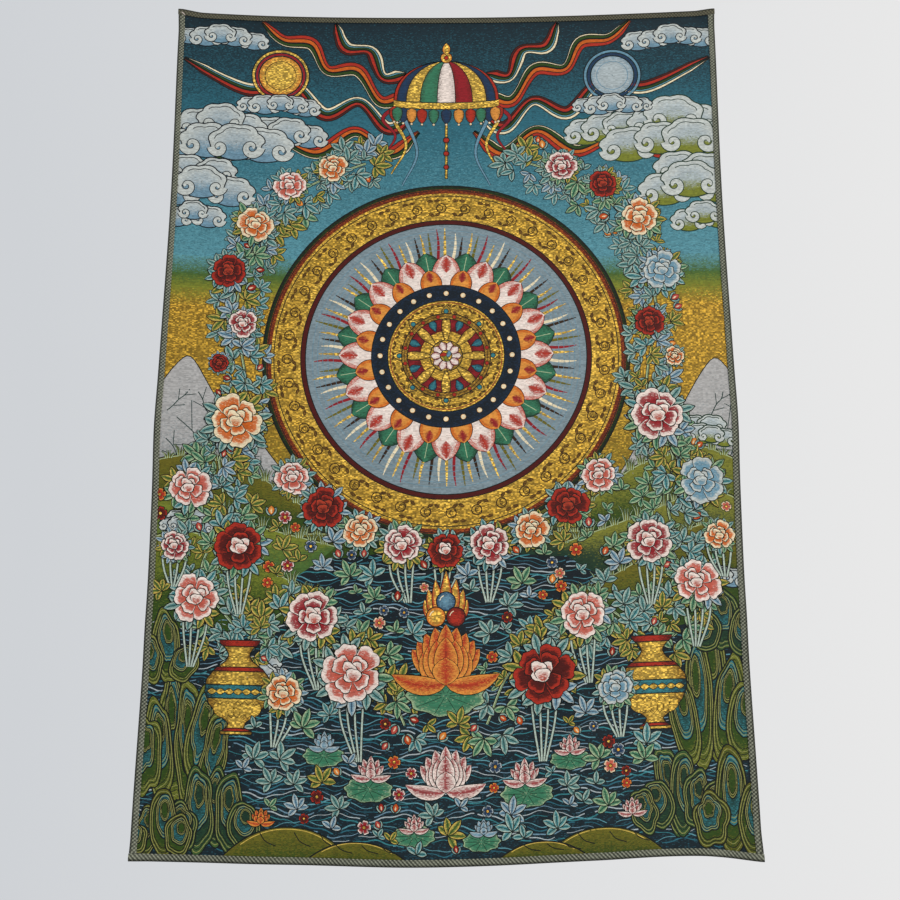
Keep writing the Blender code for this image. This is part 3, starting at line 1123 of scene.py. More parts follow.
# %% Buds
def bud(size, yarns):
    """A round bud between two small leaves."""
    leaves, vein = LEAF_SETS[0]
    return joined([
        moved(leaf(size * 1.5, size * 0.62, leaves, vein, 0.5), turn=-48),
        moved(leaf(size * 1.5, size * 0.62, leaves, vein, -0.5), turn=48),
        moved(blade(size * 1.35, size * 0.95, yarns, widest=0.5, fullness=1.6, count=8,
                    tones=(0.9, 0.1, 0.2, 0.9), outline_width=0.7), (size * 0.2, 0), level=3),
        moved(blade(size * 0.8, size * 0.4, ("cream", yarns[0]), count=6,
                    tones=(1, 0, 1), outline=None), (size * 0.35, 0), level=5),
    ])


BUD_YARNS = (RUBY, ("orange", "red"), ("rose", "crimson"), ("amber", "orange"))
BUDS = [bud(6.4, pair) for pair in BUD_YARNS]

# %% Vines and their fields of leaves
STEM_WIDTH = 1.9
STEM_LIFT = 0.55
BUD_CHANCE = 0.11
SMALL_CHANCE = 0.3


def vine(points):
    """A stem with a dark outline on both sides."""
    path = curve(points, 3.0)
    return joined([line(path, STEM_WIDTH + 1.7, "ink"), line(path, STEM_WIDTH, "leaf light", level=1),
                   line(path + (0.35, 0), STEM_WIDTH * 0.3, "green", level=2)])


def spray_field(path, reach, spacing, seed, palette):
    """Sprays over all the places within reach of a path, outside the medallion."""
    rng = np.random.default_rng(seed)
    path = curve(path, 4.0)
    low, high = path.min(0) - reach, path.max(0) + reach
    spots = [(x, y) for row, y in enumerate(np.arange(low[1], high[1], spacing * 0.86))
             for x in np.arange(low[0] + (row % 2) * spacing / 2, high[0], spacing)]
    spots = np.array(spots) + rng.uniform(-0.3, 0.3, (len(spots), 2)) * spacing
    away = np.linalg.norm(spots[:, None] - path[None], axis=2)
    nearest, distance = path[away.argmin(1)], away.min(1)
    tangent = np.gradient(path, axis=0)[away.argmin(1)]
    tangent /= np.linalg.norm(tangent, axis=1)[:, None]
    count = 0
    for k in np.argsort(-distance):
        spot = spots[k]
        if distance[k] > reach * rng.uniform(0.75, 1.0):
            continue
        if abs(spot[0]) > FIELD_RIGHT - 3 or not FIELD_BOTTOM + 3 < spot[1] < FIELD_TOP - 3:
            continue
        if math.dist(spot, MEDALLION_AT) < RIM - 10:
            continue
        out = (spot - nearest[k]) / max(distance[k], 1e-6) + tangent[k] * STEM_LIFT
        turn = math.degrees(math.atan2(out[1], out[0])) + rng.uniform(-22, 22)
        kind = palette[rng.integers(len(palette))]
        pick = rng.random()
        if pick < BUD_CHANCE:
            choices, smallest, largest = BUDS, 0.8, 1.1
        elif pick < SMALL_CHANCE:
            choices, smallest, largest = SMALL_SPRAYS[kind], 0.8, 1.15
        else:
            choices, smallest, largest = SPRAYS[kind], 0.78, 1.08
        choice = choices[rng.integers(len(choices))]
        lay("foliage", choice, spot, turn, rng.uniform(smallest, largest))
        count += 1
    return count


# %% [markdown]
# ## Peonies
# A brocade peony is a ball of ruffled petals. Each petal keeps its deep colour almost to its
# edge, and ends in a pale wavy rim. Two tiers of petals are laid from the outside in, and four
# pale ones stand in the middle like a cup.


# %% Ruffled petals
PETAL_ROWS = (0.10, 0.56, 0.81, 0.88, 1.0)


def ruffle(length, half_angle, yarns, lobes, tones=(1.0, 1.0, 0.85, 0.15, 0.0), count=11):
    """A fan-shaped petal with a wavy rim."""
    u = np.linspace(-1, 1, count)
    rim = length * (0.76 + 0.14 * np.cos(u * math.pi / 2))
    rim = rim * (1 + 0.10 * np.abs(np.sin(lobes * math.pi * (u + 1) / 2)))
    rim[0] = rim[-1] = length * 0.52
    angle = u * half_angle
    edge = rim[:, None] * headings(angle)
    rows = [edge * share for share in PETAL_ROWS]
    border = np.vstack([edge[:1] * 0.4, edge, edge[-1:] * 0.4])
    spread = np.stack([np.ones(len(border)), 1.4 * np.sign(border[:, 1])], 1) * 0.75
    wide = border * (1 + 0.75 / length) + spread * (0, 0.5)
    return joined([weave([wide * 0.7, wide], ("ink",), 0.0), weave(rows, yarns, tones, level=1)])


Bloom = namedtuple("Bloom", "yarns core")
BLOOMS = {
    "orange": Bloom(("cream", "orange"), ("cream", "orange")),
    "red": Bloom(RUBY, ("brick", "maroon")),
    "pink": Bloom(("blush", "rose"), ("blush", "brick")),
    "rose": Bloom(PINK, ("blush", "brick")),
    "blue": Bloom(("cloud cap", "powder"), ("cloud cap", "powder")),
    "two tone": Bloom(RUBY, ("blush", "brick")),
}
# %% Peonies from petals and cups
CUP_TONES = (1.0, 0.62, 0.10, 0.0, 0.0)
CUPS = (
    ((-0.04, 0.22), 0.50, -92), ((0.20, -0.08), 0.48, 116),
    ((-0.24, -0.04), 0.46, 58), ((0.0, -0.26), 0.44, 88),
)


def peony(radius, bloom, seed):
    """Two tiers of petals with dark hearts and pale rims, round a heap of pale cups."""
    rng = np.random.default_rng(seed)
    figures = []
    level = 0
    for count, share, half_angle in ((6, 1.0, 0.60), (4, 0.66, 0.66)):
        start = rng.uniform(0, 360)
        for k in evens_first(count):
            length = radius * share * rng.uniform(0.88, 1.1)
            petal = ruffle(length, half_angle * rng.uniform(0.9, 1.1), bloom.yarns, lobes=3 - k % 2)
            turn = start + 360 * k / count + rng.uniform(-7, 7)
            figures.append(moved(petal, turn=turn, level=level + 2 * (k % 2)))
        level += 4
    for k, (place, size, turn) in enumerate(CUPS):
        cup = ruffle(radius * size, 0.95, bloom.core, lobes=2, tones=CUP_TONES, count=9)
        turn = turn + rng.uniform(-15, 15)
        figures.append(moved(cup, np.array(place) * radius, turn, level=level + 2 * k))
    return joined(figures)


# %% A peony on its ruff of leaves
PEONY_SIZE = 1.18
STALKS_BELOW = -590


def lay_peony(x, y, radius, kind, seed):
    """A peony on a ruff of leaves."""
    radius = radius * PEONY_SIZE
    rng = np.random.default_rng(seed)
    if y < STALKS_BELOW:
        foot = np.array((x + rng.uniform(-8, 8), y - radius * 2.7))
        for k in range(4):
            lean = (k - 1.5) * 5.5
            middle = (x + lean * 1.3, y - radius * 1.4)
            stalk = curve([(x + lean * 1.6, y), middle, foot + (lean * 0.35, 0)], 4.0)
            lay("vines", joined([line(stalk, 3.0, "ink"), line(stalk, 1.7, "foam", level=1)]))
    for k in range(7):
        turn = 360 * k / 7 + rng.uniform(-14, 14)
        out = radius * 0.62 * heading(turn)
        colours = rng.integers(len(LEAF_SETS))
        lay("foliage", SPRAYS[colours][k % 3], (x + out[0], y + out[1]), turn, radius / 24)
    lay("peonies", peony(radius, BLOOMS[kind], seed), (x, y))


# %% [markdown]
# ## Vases
# Each vine stands in a gilt vase. A vase is one strip from its left profile to its right one,
# with bands laid over it that follow the same profile.

# %% Vases
VASE_PROFILE = ((0, 15), (3, 16), (6, 10), (11, 8), (17, 17), (28, 28), (40, 33), (52, 32),
                (62, 24), (70, 13), (76, 10), (82, 14), (87, 19), (90, 20))


def vase_strip(low, high, yarns, tones, level=0, grow=0.0):
    """A part of the vase between two heights, with a dark outline."""
    heights, halves = np.array(VASE_PROFILE, float).T
    y = np.linspace(low, high, max(3, int((high - low) / 2.5)))
    half = np.interp(y, heights, halves) + grow
    rows = [np.stack([half * share, y], 1) for share in np.linspace(-1, 1, len(tones))]
    rim = np.vstack([rows[0], rows[-1][::-1]])
    return joined([weave(rows, yarns, tones, level=level),
                   line(rim, OUTLINE, "ink", closed=True, level=level + 1)])


def vase():
    figures = [
        vase_strip(0, 90, GILT, (0.95, 0.3, 0.0, 0.1, 0.45, 1.0)),
        vase_strip(34, 47, ("turquoise", "navy"), (0.9, 0.3, 0.1, 0.5, 1.0), 2),
    ]
    for low, high, grow in ((60, 64, 0.0), (3, 6, 0.0), (84, 90, 0.6)):
        figures.append(vase_strip(low, high, RUBY, (0.9, 0.2, 0.1, 0.9), 2, grow))
    lozenge = blade(8.4, 5.2, PALE_GILT, widest=0.5, count=7)
    petal = blade(15, 8.6, PALE_GILT, widest=0.55, fullness=1.6, outline="umber", outline_width=0.7)
    figures += [moved(lozenge, (k * 8.6 - 4.2, 40.5), level=4) for k in range(-3, 4)]
    figures += [moved(petal, (k * 5.0, 16), 90 - k * 9, level=4) for k in range(-3, 4)]
    return joined(figures)


# %% [markdown]
# ## Parasol
# A state parasol hangs at the top middle, between the ribbons: a gilt finial, a dome of
# coloured gores, a scalloped valance with pendants, and a pole.

# %% Parasol
DOME_HALF = 58.0
DOME_TOP = -54.0
DOME_FOOT = -102.0
GORES = ("red", "royal", "bright gold", "malachite", "blush", "crimson", "bright gold", "royal", "red")
PENDANTS = ("red", "malachite", "royal", "amber")


def rib(share):
    """One seam of the dome, from the top to the foot."""
    t = np.linspace(0, 1, 12)
    x = DOME_HALF * np.sin(share * math.pi / 2) * np.sin(t * math.pi / 2) ** 0.85
    y = DOME_TOP + (DOME_FOOT - DOME_TOP) * t**1.7 - 4 * math.cos(share * math.pi / 2) * t
    return np.stack([x, y], 1)


def parasol():
    figures = [
        line(np.linspace((0, -58), (0, -196), 36), 3.4, "ink"),
        line(np.linspace((0, -58), (0, -195), 36), 2.0, "bright gold", level=1),
    ]
    for k, y in enumerate((-150, -166, -182)):
        figures.append(moved(button(3.4 - 0.3 * k, RUBY, 14), (0, y), level=2))
    edges = np.linspace(-1, 1, len(GORES) + 1)
    for left, right, name in zip(edges, edges[1:], GORES):
        rows = [rib(left), rib((2 * left + right) / 3), rib((left + 2 * right) / 3), rib(right)]
        figures.append(weave(rows, (name, "umber"), (0.45, 0.0, 0.0, 0.3), level=6))
        figures.append(line(rib(left), 0.8, "ink", level=7))
    figures.append(line(rib(1), OUTLINE, "ink", level=7))
    figures.append(line(rib(-1), OUTLINE, "ink", level=7))
    shares = np.linspace(-1, 1, 25)
    foot_line = np.array([rib(share)[-1] for share in shares])
    hem = [foot_line + (0, 1), foot_line - (0, 7)]
    figures.append(weave(hem, PALE_GILT, (0, 0.6), level=8))
    figures.append(line(foot_line + (0, 1), OUTLINE, "ink", level=9))
    figures.append(line(foot_line - (0, 7), OUTLINE, "ink", level=9))
    for k, share in enumerate(np.linspace(-0.92, 0.92, 13)):
        place = [np.interp(share, shares, foot_line[:, i]) for i in (0, 1)] - np.array((0, 7))
        cloth = blade(17, 10.5, (PENDANTS[k % 4], "umber"), widest=0.35, fullness=2.2,
                      tones=(0.5, 0.05, 0.0, 0.1, 0.5))
        figures.append(moved(cloth, place, -90, level=10 + 2 * (k % 2)))
        drop = button(1.5, ("cream", "amber"), 10, 0.5)
        figures.append(moved(drop, (place[0], place[1] - 18.5), level=14))
    for side in (-1, 1):
        for reach, drop, name in ((70, 66, "crimson"), (58, 84, "bright gold"), (46, 98, "powder")):
            path = curve([(side * 50, -106), (side * reach, -124), (side * (reach - 14), -106 - drop * 0.6),
                          (side * (reach + 2), -106 - drop)], 3.0)
            taper = np.linspace(1.0, 0.25, len(path))
            figures.append(line(path, 5.4 * taper + 0.6, "ink", level=4))
            figures.append(line(path, 4.4 * taper, name, level=5))
    jewel = joined([button(6.5, FLAME),
                    moved(blade(14, 8.0, FLAME, fullness=1.4), (4, 0), level=2),
                    moved(button(2.6, RUBY, 12, 0.6), level=4)])
    figures.append(moved(jewel, (0, -50), 90, level=10))
    return joined(figures)


lay("parasol", parasol())
print("parasol faces:", len(laid["parasol"][0].faces))

# %% [markdown]
# ## Rocks
# Thangka rocks are heaps of tall round lobes with nested contours: dark and pale lines, green,
# turquoise and green again, one inside the other. A lobe is a lumpy closed curve, filled and
# then repeated at smaller sizes. Low mounds with a few creases lie between the heaps.


# %% Rocks
LUMPS = 5


def lumpy(width, height, seed):
    """A closed curve with rounded lumps."""
    rng = np.random.default_rng(seed)
    angle = whole_turn(72)
    bulge = 1 + 0.10 * np.abs(np.sin(LUMPS * angle / 2 + rng.uniform(0, 3)))
    bulge += 0.12 * np.sin(2 * angle + rng.uniform(0, 6)) + 0.06 * np.sin(5 * angle + rng.uniform(0, 6))
    return np.outer(bulge, (width / 2, height / 2)) * headings(angle)


OLIVE_FADE = (1.0, 0.95, 0.35)
TEAL_FADE = (1.0, 0.62, 0.05)
DEEP_TEAL = ("turquoise", "leaf shade")
WIDE_LOBE = 24
CONTOURS = ((0.92, "lichen", 0.7), (0.85, "ink", 0.7), (0.78, "lichen", 0.6), (0.71, "ink", 0.7))


def rock_lobe(width, height, seed, inks):
    """One tall lobe with nested contours, thin pale and dark lines by turns."""
    rng = np.random.default_rng(seed)
    rim = lumpy(width, height, seed)
    figures = []
    bands = ((1.0, inks, OLIVE_FADE), (0.64, DEEP_TEAL, TEAL_FADE), (0.32, inks, OLIVE_FADE))
    for k, (share, yarns, tones) in enumerate(bands[: 3 if width > WIDE_LOBE else 2]):
        centre = np.array((rng.uniform(-0.05, 0.05) * width, (1 - share) * 0.30 * height))
        own = rim * share + centre
        rows = [centre + (own - centre) * part for part in (0.02, 0.6, 1.0)]
        figures.append(weave(rows, yarns, tones, closed=True, level=3 * k))
        figures.append(line(own, OUTLINE + 0.3, "ink", closed=True, level=3 * k + 1))
        for inset, name, wide in CONTOURS:
            path = (centre + (own - centre) * inset)[::2]
            figures.append(line(path, wide, name, closed=True, level=3 * k + 2))
    return joined(figures)


def rock(width, height, seed, inks):
    """A cluster of lobes side by side, the tall ones behind."""
    rng = np.random.default_rng(seed)
    count = max(3, int(width / 15))
    figures = []
    for rank, k in enumerate(sorted(range(count), key=lambda k: abs(k - (count - 1) / 2))):
        side = 2 * k / (count - 1) - 1
        tall = height * (1 - 0.42 * abs(side)) * rng.uniform(0.82, 1.12)
        lobe = rock_lobe(width / count * 1.75, tall, seed * 10 + k, inks)
        place = (side * width * 0.36, (tall - height) / 2)
        figures.append(moved(lobe, place, -9 * side + rng.uniform(-6, 6), level=9 * rank))
    return joined(figures)


def mound(width, height, inks):
    """A low olive mound with a few dark creases."""
    t = np.linspace(-1, 1, 21)
    crest = np.stack([t * width / 2, height * (1 - np.abs(t) ** 2.2)], 1)
    foot = crest * (1, 0) - (0, 4)
    figures = [weave([crest, (crest + foot) / 2, foot], inks, (0.05, 0.4, 0.8)),
               line(crest, OUTLINE + 0.3, "ink", level=1),
               line((crest * 0.93)[2:-2], 0.7, "leaf tip", level=1)]
    for share in (-0.45, 0.1, 0.5):
        crease = curve([(share * width / 2, height * 0.82), (share * width / 2 + 6, height * 0.5),
                        (share * width / 2 + 16, height * 0.34)], 3.0)
        figures.append(line(crease, 0.9, "ink", level=2))
    return joined(figures)


# %% [markdown]
# ## Lotuses and jewels
# In the water stand lotuses. A lotus is a fan of pointed petals: a back row, a front row and a
# pair that lies flat. The largest one carries three jewels in a tongue of flame, a common
# emblem of treasure.


# %% Lotuses, pads and jewels
def lotus(size, yarns, edge, back, front):
    """A lotus seen from the side. size is the length of its middle petal."""
    figures = []
    rows = ((back, 66, 1.0, 0.36), (front, 54, 0.86, 0.44))
    for tier, (count, spread, share, wide) in enumerate(rows):
        for rank, k in enumerate(middle_last(count)):
            side = 2 * k / (count - 1) - 1
            length = size * share * (1 - 0.16 * abs(side))
            petal = blade(length, size * wide, yarns, bend=-0.5 * side, widest=0.5, fullness=1.35,
                          count=10, tones=(0.0, 0.55, 0.95, 0.55, 0.0))
            inner = line(np.linspace((length * 0.15, 0), (length * 0.7, -length * 0.12 * side), 6),
                         0.5, edge, level=2)
            figures.append(moved(joined([petal, inner]), (0, -size * 0.1 * tier), 90 + side * spread,
                                 level=20 * tier + 3 * rank))
    for side in (-1, 1):
        flat = blade(size * 1.05, size * 0.34, yarns, bend=0.8 * side, widest=0.45, fullness=1.3,
                     count=10, tones=(0.0, 0.5, 0.95, 0.5, 0.0))
        figures.append(moved(flat, (0, -size * 0.1), 90 - side * 106, level=44))
    cup = blade(size * 0.5, size * 0.5, yarns, widest=0.5, fullness=1.5, tones=(0.0, 0.5, 0.9, 0.5, 0.0))
    figures.append(moved(cup, (0, -size * 0.12), 90, level=47))
    return joined(figures)


def lily_pad(width, seed):
    rng = np.random.default_rng(seed)
    angle = whole_turn(40)
    ruffled = 1 + 0.06 * np.sin(9 * angle + rng.uniform(0, 6))
    rim = np.outer(ruffled, (width / 2, width * 0.26)) * headings(angle)
    figures = [weave([rim * share for share in (0.02, 0.6, 0.88, 1.0)], ("leaf light", "malachite"),
                     (0.9, 1.0, 0.8, 0.1), closed=True),
               line(rim, OUTLINE, "ink", closed=True, level=1)]
    for k in range(0, 40, 4):
        figures.append(line(np.linspace(rim[k] * 0.12, rim[k] * 0.9, 6), 0.55, "pine", level=1))
    return joined(figures)


def flame_jewels(size):
    figures = []
    for rank, turn in enumerate((62, -62, 40, -40, 20, -20, 0)):
        flame = blade(size * (2.9 - abs(turn) / 42), size * 0.8, ("bright gold", "red"),
                      bend=-turn / 75, widest=0.35, fullness=1.2, count=12,
                      tones=(0.95, 0.35, 0.0, 0.35, 0.95))
        figures.append(moved(flame, (-turn / 62 * size * 0.5, 0), 90 + turn, level=3 * rank))
    jewels = (((0, 1.05), SAPPHIRE), ((-0.62, 0.1), FLAME),
              ((0.62, 0.1), RUBY))
    for rank, (place, pair) in enumerate(jewels):
        jewel = button(size * 0.6, pair, tones=(0.0, 0.2, 0.6, 1.0))
        shine = line(circle(size * 0.38, start=110, stop=170), 0.9, "cream", level=2)
        figures.append(moved(joined([jewel, shine]), np.array(place) * size, level=24 + 3 * rank))
    return joined(figures)


# %% [markdown]
# ## Composing the lower half
# Large things come first, then smaller ones over them: rocks and mounds, vines and their
# leaves, vases, peonies, pads, and the lotuses with the jewels. The list of peonies goes
# down the left side, then down the right side, and a garland follows the medallion's foot.

# %% Mounds, rocks and vases
Place = namedtuple("Place", "x y width height seed")
ROCKS = (
    Place(-258, -776, 92, 130, 1), Place(-222, -846, 84, 84, 2), Place(-276, -862, 60, 62, 3),
    Place(262, -748, 84, 128, 4), Place(222, -838, 92, 76, 5), Place(274, -846, 56, 88, 6),
    Place(-276, -700, 46, 66, 7), Place(276, -672, 50, 70, 8),
)
for spot in ROCKS:
    tints = (GRASSY, ("lime", "moss"), ("green", "pine"))[spot.seed % 3]
    lay("rocks", rock(spot.width, spot.height, spot.seed, tints), (spot.x, spot.y))
MOUNDS = ((-150, -892, 120, 26), (-84, -893, 90, 15), (150, -892, 110, 22), (92, -893, 80, 13))
for x, y, width, height in MOUNDS:
    lay("rocks", mound(width, height, GRASSY), (x, y))

Vine = namedtuple("Vine", "path reach spacing seed palette")
VINES = (
    Vine(((-202, -688), (-246, -630), (-226, -570), (-232, -512)), 36, 16.5, 20, (0, 1, 3, 3, 4)),
    Vine(((-232, -512), (-208, -440), (-222, -350), (-206, -280), (-178, -228), (-132, -196),
          (-88, -178)), 27, 14.5, 25, (0, 0, 1, 2, 3, 4)),
    Vine(((-196, -690), (-150, -660), (-110, -690), (-64, -720), (-40, -770)), 26, 17.0, 30,
         (0, 1, 3, 4, 4)),
)
both_sides = [(stem, side) for side in (1, -1) for stem in VINES]
for stem, side in both_sides:
    lay("vines", vine(np.array(stem.path) * (side, 1)))
counts = [spray_field(np.array(stem.path) * (side, 1), stem.reach, stem.spacing, stem.seed + side,
                      stem.palette) for stem, side in both_sides]
print("sprays on the vines:", counts)
for side in (-1, 1):
    lay("vases", vase(), (side * 204, -782), mirror=side > 0)

# %% Peonies
PEONIES = (
    (-206, -252, 17, "orange"), (-170, -206, 15, "pink"), (-124, -184, 14, "orange"),
    (-232, -306, 17, "red"), (-214, -364, 13, "rose"), (-216, -470, 24, "orange"),
    (-262, -540, 19, "pink"), (-208, -600, 21, "two tone"), (-250, -652, 21, "pink"),
    (-132, -668, 22, "rose"), (-92, -722, 26, "pink"), (-160, -742, 16, "orange"),
    (208, -248, 19, "orange"), (170, -206, 14, "red"), (126, -184, 15, "rose"), (230, -308, 18, "blue"),
    (214, -366, 14, "red"), (218, -468, 24, "rose"), (260, -536, 20, "blue"), (206, -598, 20, "rose"),
    (252, -640, 20, "pink"), (136, -668, 21, "pink"), (96, -724, 26, "two tone"), (166, -740, 15, "blue"),
    (-236, -408, 9, "red"), (238, -404, 9, "orange"), (-274, -600, 13, "rose"), (276, -592, 13, "orange"),
)
GARLAND_KINDS = ("pink", "red", "orange", "rose", "two tone", "rose", "orange", "red", "pink")
GARLAND_REACH = RIM + 16
GARLAND_STEP = 12.5
garland = []
for k, kind in enumerate(GARLAND_KINDS):
    place = MEDALLION_AT + GARLAND_REACH * heading(270 + GARLAND_STEP * (k - 4))
    garland.append((*place, 15.5 + 2.5 * (k % 2), kind))
for seed, (x, y, radius, kind) in enumerate((*PEONIES, *garland)):
    lay_peony(x, y, radius, kind, seed)
print(len(PEONIES) + len(garland), "peonies")

# %% Jewels, lotuses and pads
PADS = (((-74, -830), 46), ((78, -836), 50), ((-30, -872), 40), ((34, -878), 36),
        ((-118, -800), 40), ((120, -806), 38), ((0, -742), 76))
for spot, width in PADS:
    lay("lily_pads", lily_pad(width, seed=width), spot)
lay("lotuses", flame_jewels(16), (0, -668))
lay("lotuses", lotus(52, ORANGE, "umber", back=9, front=7), (0, -726))
lay("lotuses", lotus(38, PINK, "maroon", back=7, front=7), (0, -828))
SMALL_LOTUSES = (((-72, -818), 19, PINK), ((76, -824), 21, PINK), ((-30, -866), 14, PINK),
                 ((36, -870), 13, ICE), ((-118, -792), 15, ICE), ((120, -798), 15, PINK),
                 ((-176, -862), 13, ORANGE), ((178, -858), 14, PINK))
for spot, size, yarns in SMALL_LOTUSES:
    lay("lotuses", lotus(size, yarns, yarns[1], back=5, front=3), spot)
print(len(laid["lotuses"]), "lotuses and jewels")

# %% [markdown]
# ## Filling what is left
# A brocade picture leaves no large empty spot among its flowers. The stacking map knows where
# nothing but water or grass shows, so small sprays, buds and flowers go there, in an order
# that a seeded generator shuffles.


# %% Small fillers
def blossom(radius, yarns):
    """A small flower of five petals."""
    petal = ruffle(radius, 0.62, yarns, lobes=2, count=7)
    heart = button(radius * 0.25, FLAME, 10, 0.5)
    return joined([around(petal, 5, 0, 18, True), moved(heart, level=6)])


BLOSSOMS = [blossom(6.5, pair) for pair in (PINK, ORANGE, BLUE, ("cream", "rose"), RUBY)]


def fill(top, bottom, spacing, room, seed, fillers):
    """Lays one filler at each free spot of a jittered grid."""
    rng = np.random.default_rng(seed)
    spots = [(x, y) for y in np.arange(bottom, top, spacing)
             for x in np.arange(-FIELD_RIGHT + 6, FIELD_RIGHT - 5, spacing)]
    rng.shuffle(spots)
    count = 0
    for spot in spots:
        spot = np.array(spot) + rng.uniform(-0.35, 0.35, 2) * spacing
        if not FIELD_BOTTOM + 5 < spot[1] < FIELD_TOP - 5 or not is_free(spot, room):
            continue
        family, choice = fillers[rng.integers(len(fillers))]
        lay(family, choice, spot, rng.uniform(40, 140), rng.uniform(0.75, 1.1))
        count += 1
    return count


sprays_mixed = [("foliage", s[0]) for s in SPRAYS] + [("foliage", s[1]) for s in SPRAYS]
small_mixed = [("foliage", s[0]) for s in SMALL_SPRAYS]
flowers_mixed = [("blossoms", flower) for flower in BLOSSOMS] + [("foliage", b) for b in BUDS]
print("lower fill:", fill(-596, -893, 21, 6.5, 41, sprays_mixed + flowers_mixed[:3]))
print("small fill:", fill(-540, -893, 15, 4.5, 43, small_mixed + flowers_mixed))
print({family: sum(len(f.faces) for f in figures) for family, figures in laid.items()})

# %% [markdown]
# ## The woven finish
# Brocade is not one flat colour. Each spot holds many short floats of thread, and each float
# is one of the two yarns that the figure mixes. The finish divides the flat cloth into cells
# as big as a float, gives each cell a random number, and compares it with the tone: below it,
# the second yarn shows. The position on the flat cloth is stored at each point of the mesh,
# so the grain follows the folds and never swims. Gilt yarn is flat metal foil round a thread,
# so its part of the finish is a little metallic. Its colour also carries painted glints: a few
# of its cells are painted much brighter, as if they caught the light, and the rest darker.


class Nodes:
    """A short way to add nodes to a material or a world, and to link them."""

    def __init__(self, owner, target):
        owner.use_nodes = True
        self.owner = owner
        self.tree = owner.node_tree
        self.target = self.tree.nodes[target]

    def feed(self, socket, value):
        if isinstance(value, bpy.types.NodeSocket):
            self.tree.links.new(value, socket)
        else:
            socket.default_value = value

    def feed_named(self, node, **values):
        """Feeds sockets by name. An underscore stands for a space."""
        for label, value in values.items():
            self.feed(node.inputs[label.replace("_", " ")], value)

    def add(self, kind, *values, **settings):
        node = self.tree.nodes.new(kind)
        for key, setting in settings.items():
            setattr(node, key, setting)
        for socket, value in zip(node.inputs, values):
            self.feed(socket, value)
        return node.outputs[0]

    def math(self, operation, *values):
        return self.add("ShaderNodeMath", *values, operation=operation)

    def scaled(self, vector, factors):
        return self.add("ShaderNodeVectorMath", vector, factors, operation="MULTIPLY")

    def attribute(self, name, output="Vector"):
        node = self.tree.nodes.new("ShaderNodeAttribute")
        node.attribute_name = name
        return node.outputs[output]

    def random_cell(self, place, size):
        """A random number from 0 to 1 for each cell of a size in mm."""
        share = self.scaled(place, tuple(1 / side for side in size))
        whole = self.add("ShaderNodeVectorMath", share, operation="FLOOR")
        return self.add("ShaderNodeTexWhiteNoise", whole)

    def blend(self, share, first, second, kind="RGBA"):
        node = self.tree.nodes.new("ShaderNodeMix")
        node.data_type = kind
        chosen = [s for s in node.inputs if s.enabled]
        for socket, value in zip(chosen, (share, first, second)):
            self.feed(socket, value)
        return next(s for s in node.outputs if s.enabled)

    def between(self, value, low, high):
        """A number from 0 to 1 spread between two limits."""
        return self.add("ShaderNodeMapRange", value, 0.0, 1.0, low, high)

    def lit(self, colour, light):
        """A colour made brighter or darker."""
        scaled = self.add("ShaderNodeVectorMath", colour, operation="SCALE")
        self.feed(scaled.node.inputs["Scale"], light)
        return scaled

    def raised(self, height, strength, depth):
        """The small relief of the threads, with its depth in mm."""
        bump = self.add("ShaderNodeBump")
        self.feed_named(bump.node, Strength=strength, Distance=depth * MM, Height=height)
        return bump


def new_finish(name):
    return Nodes(bpy.data.materials.new(name), "Principled BSDF")


# %% The silk finish
FLOAT_SIZE = (1.5, 0.55, 1.0)
THREAD_SIZE = (700.0, 0.55, 1.0)
PATCH_SIZE = (2.6, 1.1, 1.0)
PAINTED_GLINT_SIZE = (2.0, 1.1, 1.0)
CROSSING = (2.1, 5.7, 1.0)
THREAD_LIGHT = (0.90, 1.06)
PATCH_LIGHT = (0.70, 1.02)
PAINTED_GLINT_SHARPNESS = 2.6
PAINTED_GLINT_GAIN = 1.7
FOIL_LIGHT = 0.53
FLOAT_SOFTNESS = 0.55
SILK_ROUGHNESS = 0.62
FOIL_ROUGHNESS = 0.55
FOIL_METAL = 0.25


def silk_finish(name):
    """The finish of every woven figure, from the numbers stored at its points."""
    n = new_finish(name)
    place = n.attribute("cloth_mm")
    tone = n.attribute("tone", "Fac")
    number = n.random_cell(place, FLOAT_SIZE)
    chosen = n.math("LESS_THAN", number, tone)
    share = n.blend(FLOAT_SOFTNESS, chosen, tone, "FLOAT")
    colour = n.blend(share, n.attribute("first", "Color"), n.attribute("second", "Color"))
    gilt = n.blend(share, n.attribute("first", "Alpha"), n.attribute("second", "Alpha"), "FLOAT")

    thread = n.between(n.random_cell(place, THREAD_SIZE), *THREAD_LIGHT)
    patch = n.between(n.random_cell(place, PATCH_SIZE), *PATCH_LIGHT)
    # Painted glints on the gilt: a few random cells painted much brighter in the colour, the rest darker
    painted_glint = n.math("POWER", n.random_cell(place, PAINTED_GLINT_SIZE), PAINTED_GLINT_SHARPNESS)
    foil = n.math("ADD", n.math("MULTIPLY", painted_glint, PAINTED_GLINT_GAIN), FOIL_LIGHT)
    foil = n.blend(gilt, 1.0, foil, "FLOAT")
    # Brightness of the colour: random tone of threads and patches, times the painted glints on gilt
    light = n.math("MULTIPLY", n.math("MULTIPLY", thread, patch), foil)

    # Crossing threads: rows of floats with dark gaps between them
    turns = n.add("ShaderNodeSeparateXYZ", n.scaled(place, CROSSING))
    across = n.math("SINE", turns)
    down = n.math("SINE", turns.node.outputs[1])
    height = n.math("ADD", n.math("MULTIPLY", across, down), n.math("MULTIPLY", number, 1.2))
    n.feed_named(
        n.target,
        Base_Color=n.lit(colour, light),
        Metallic=n.math("MULTIPLY", gilt, FOIL_METAL),
        Roughness=n.blend(gilt, SILK_ROUGHNESS, FOIL_ROUGHNESS, "FLOAT"),
        Normal=n.raised(height, strength=0.35, depth=0.12),
        Specular_IOR_Level=0.16,
        Sheen_Weight=0.04,
        Sheen_Roughness=0.5,
    )
    return n.owner


silk = silk_finish("figured_silk_weave")
print("silk finish:", len(silk.node_tree.nodes), "nodes")

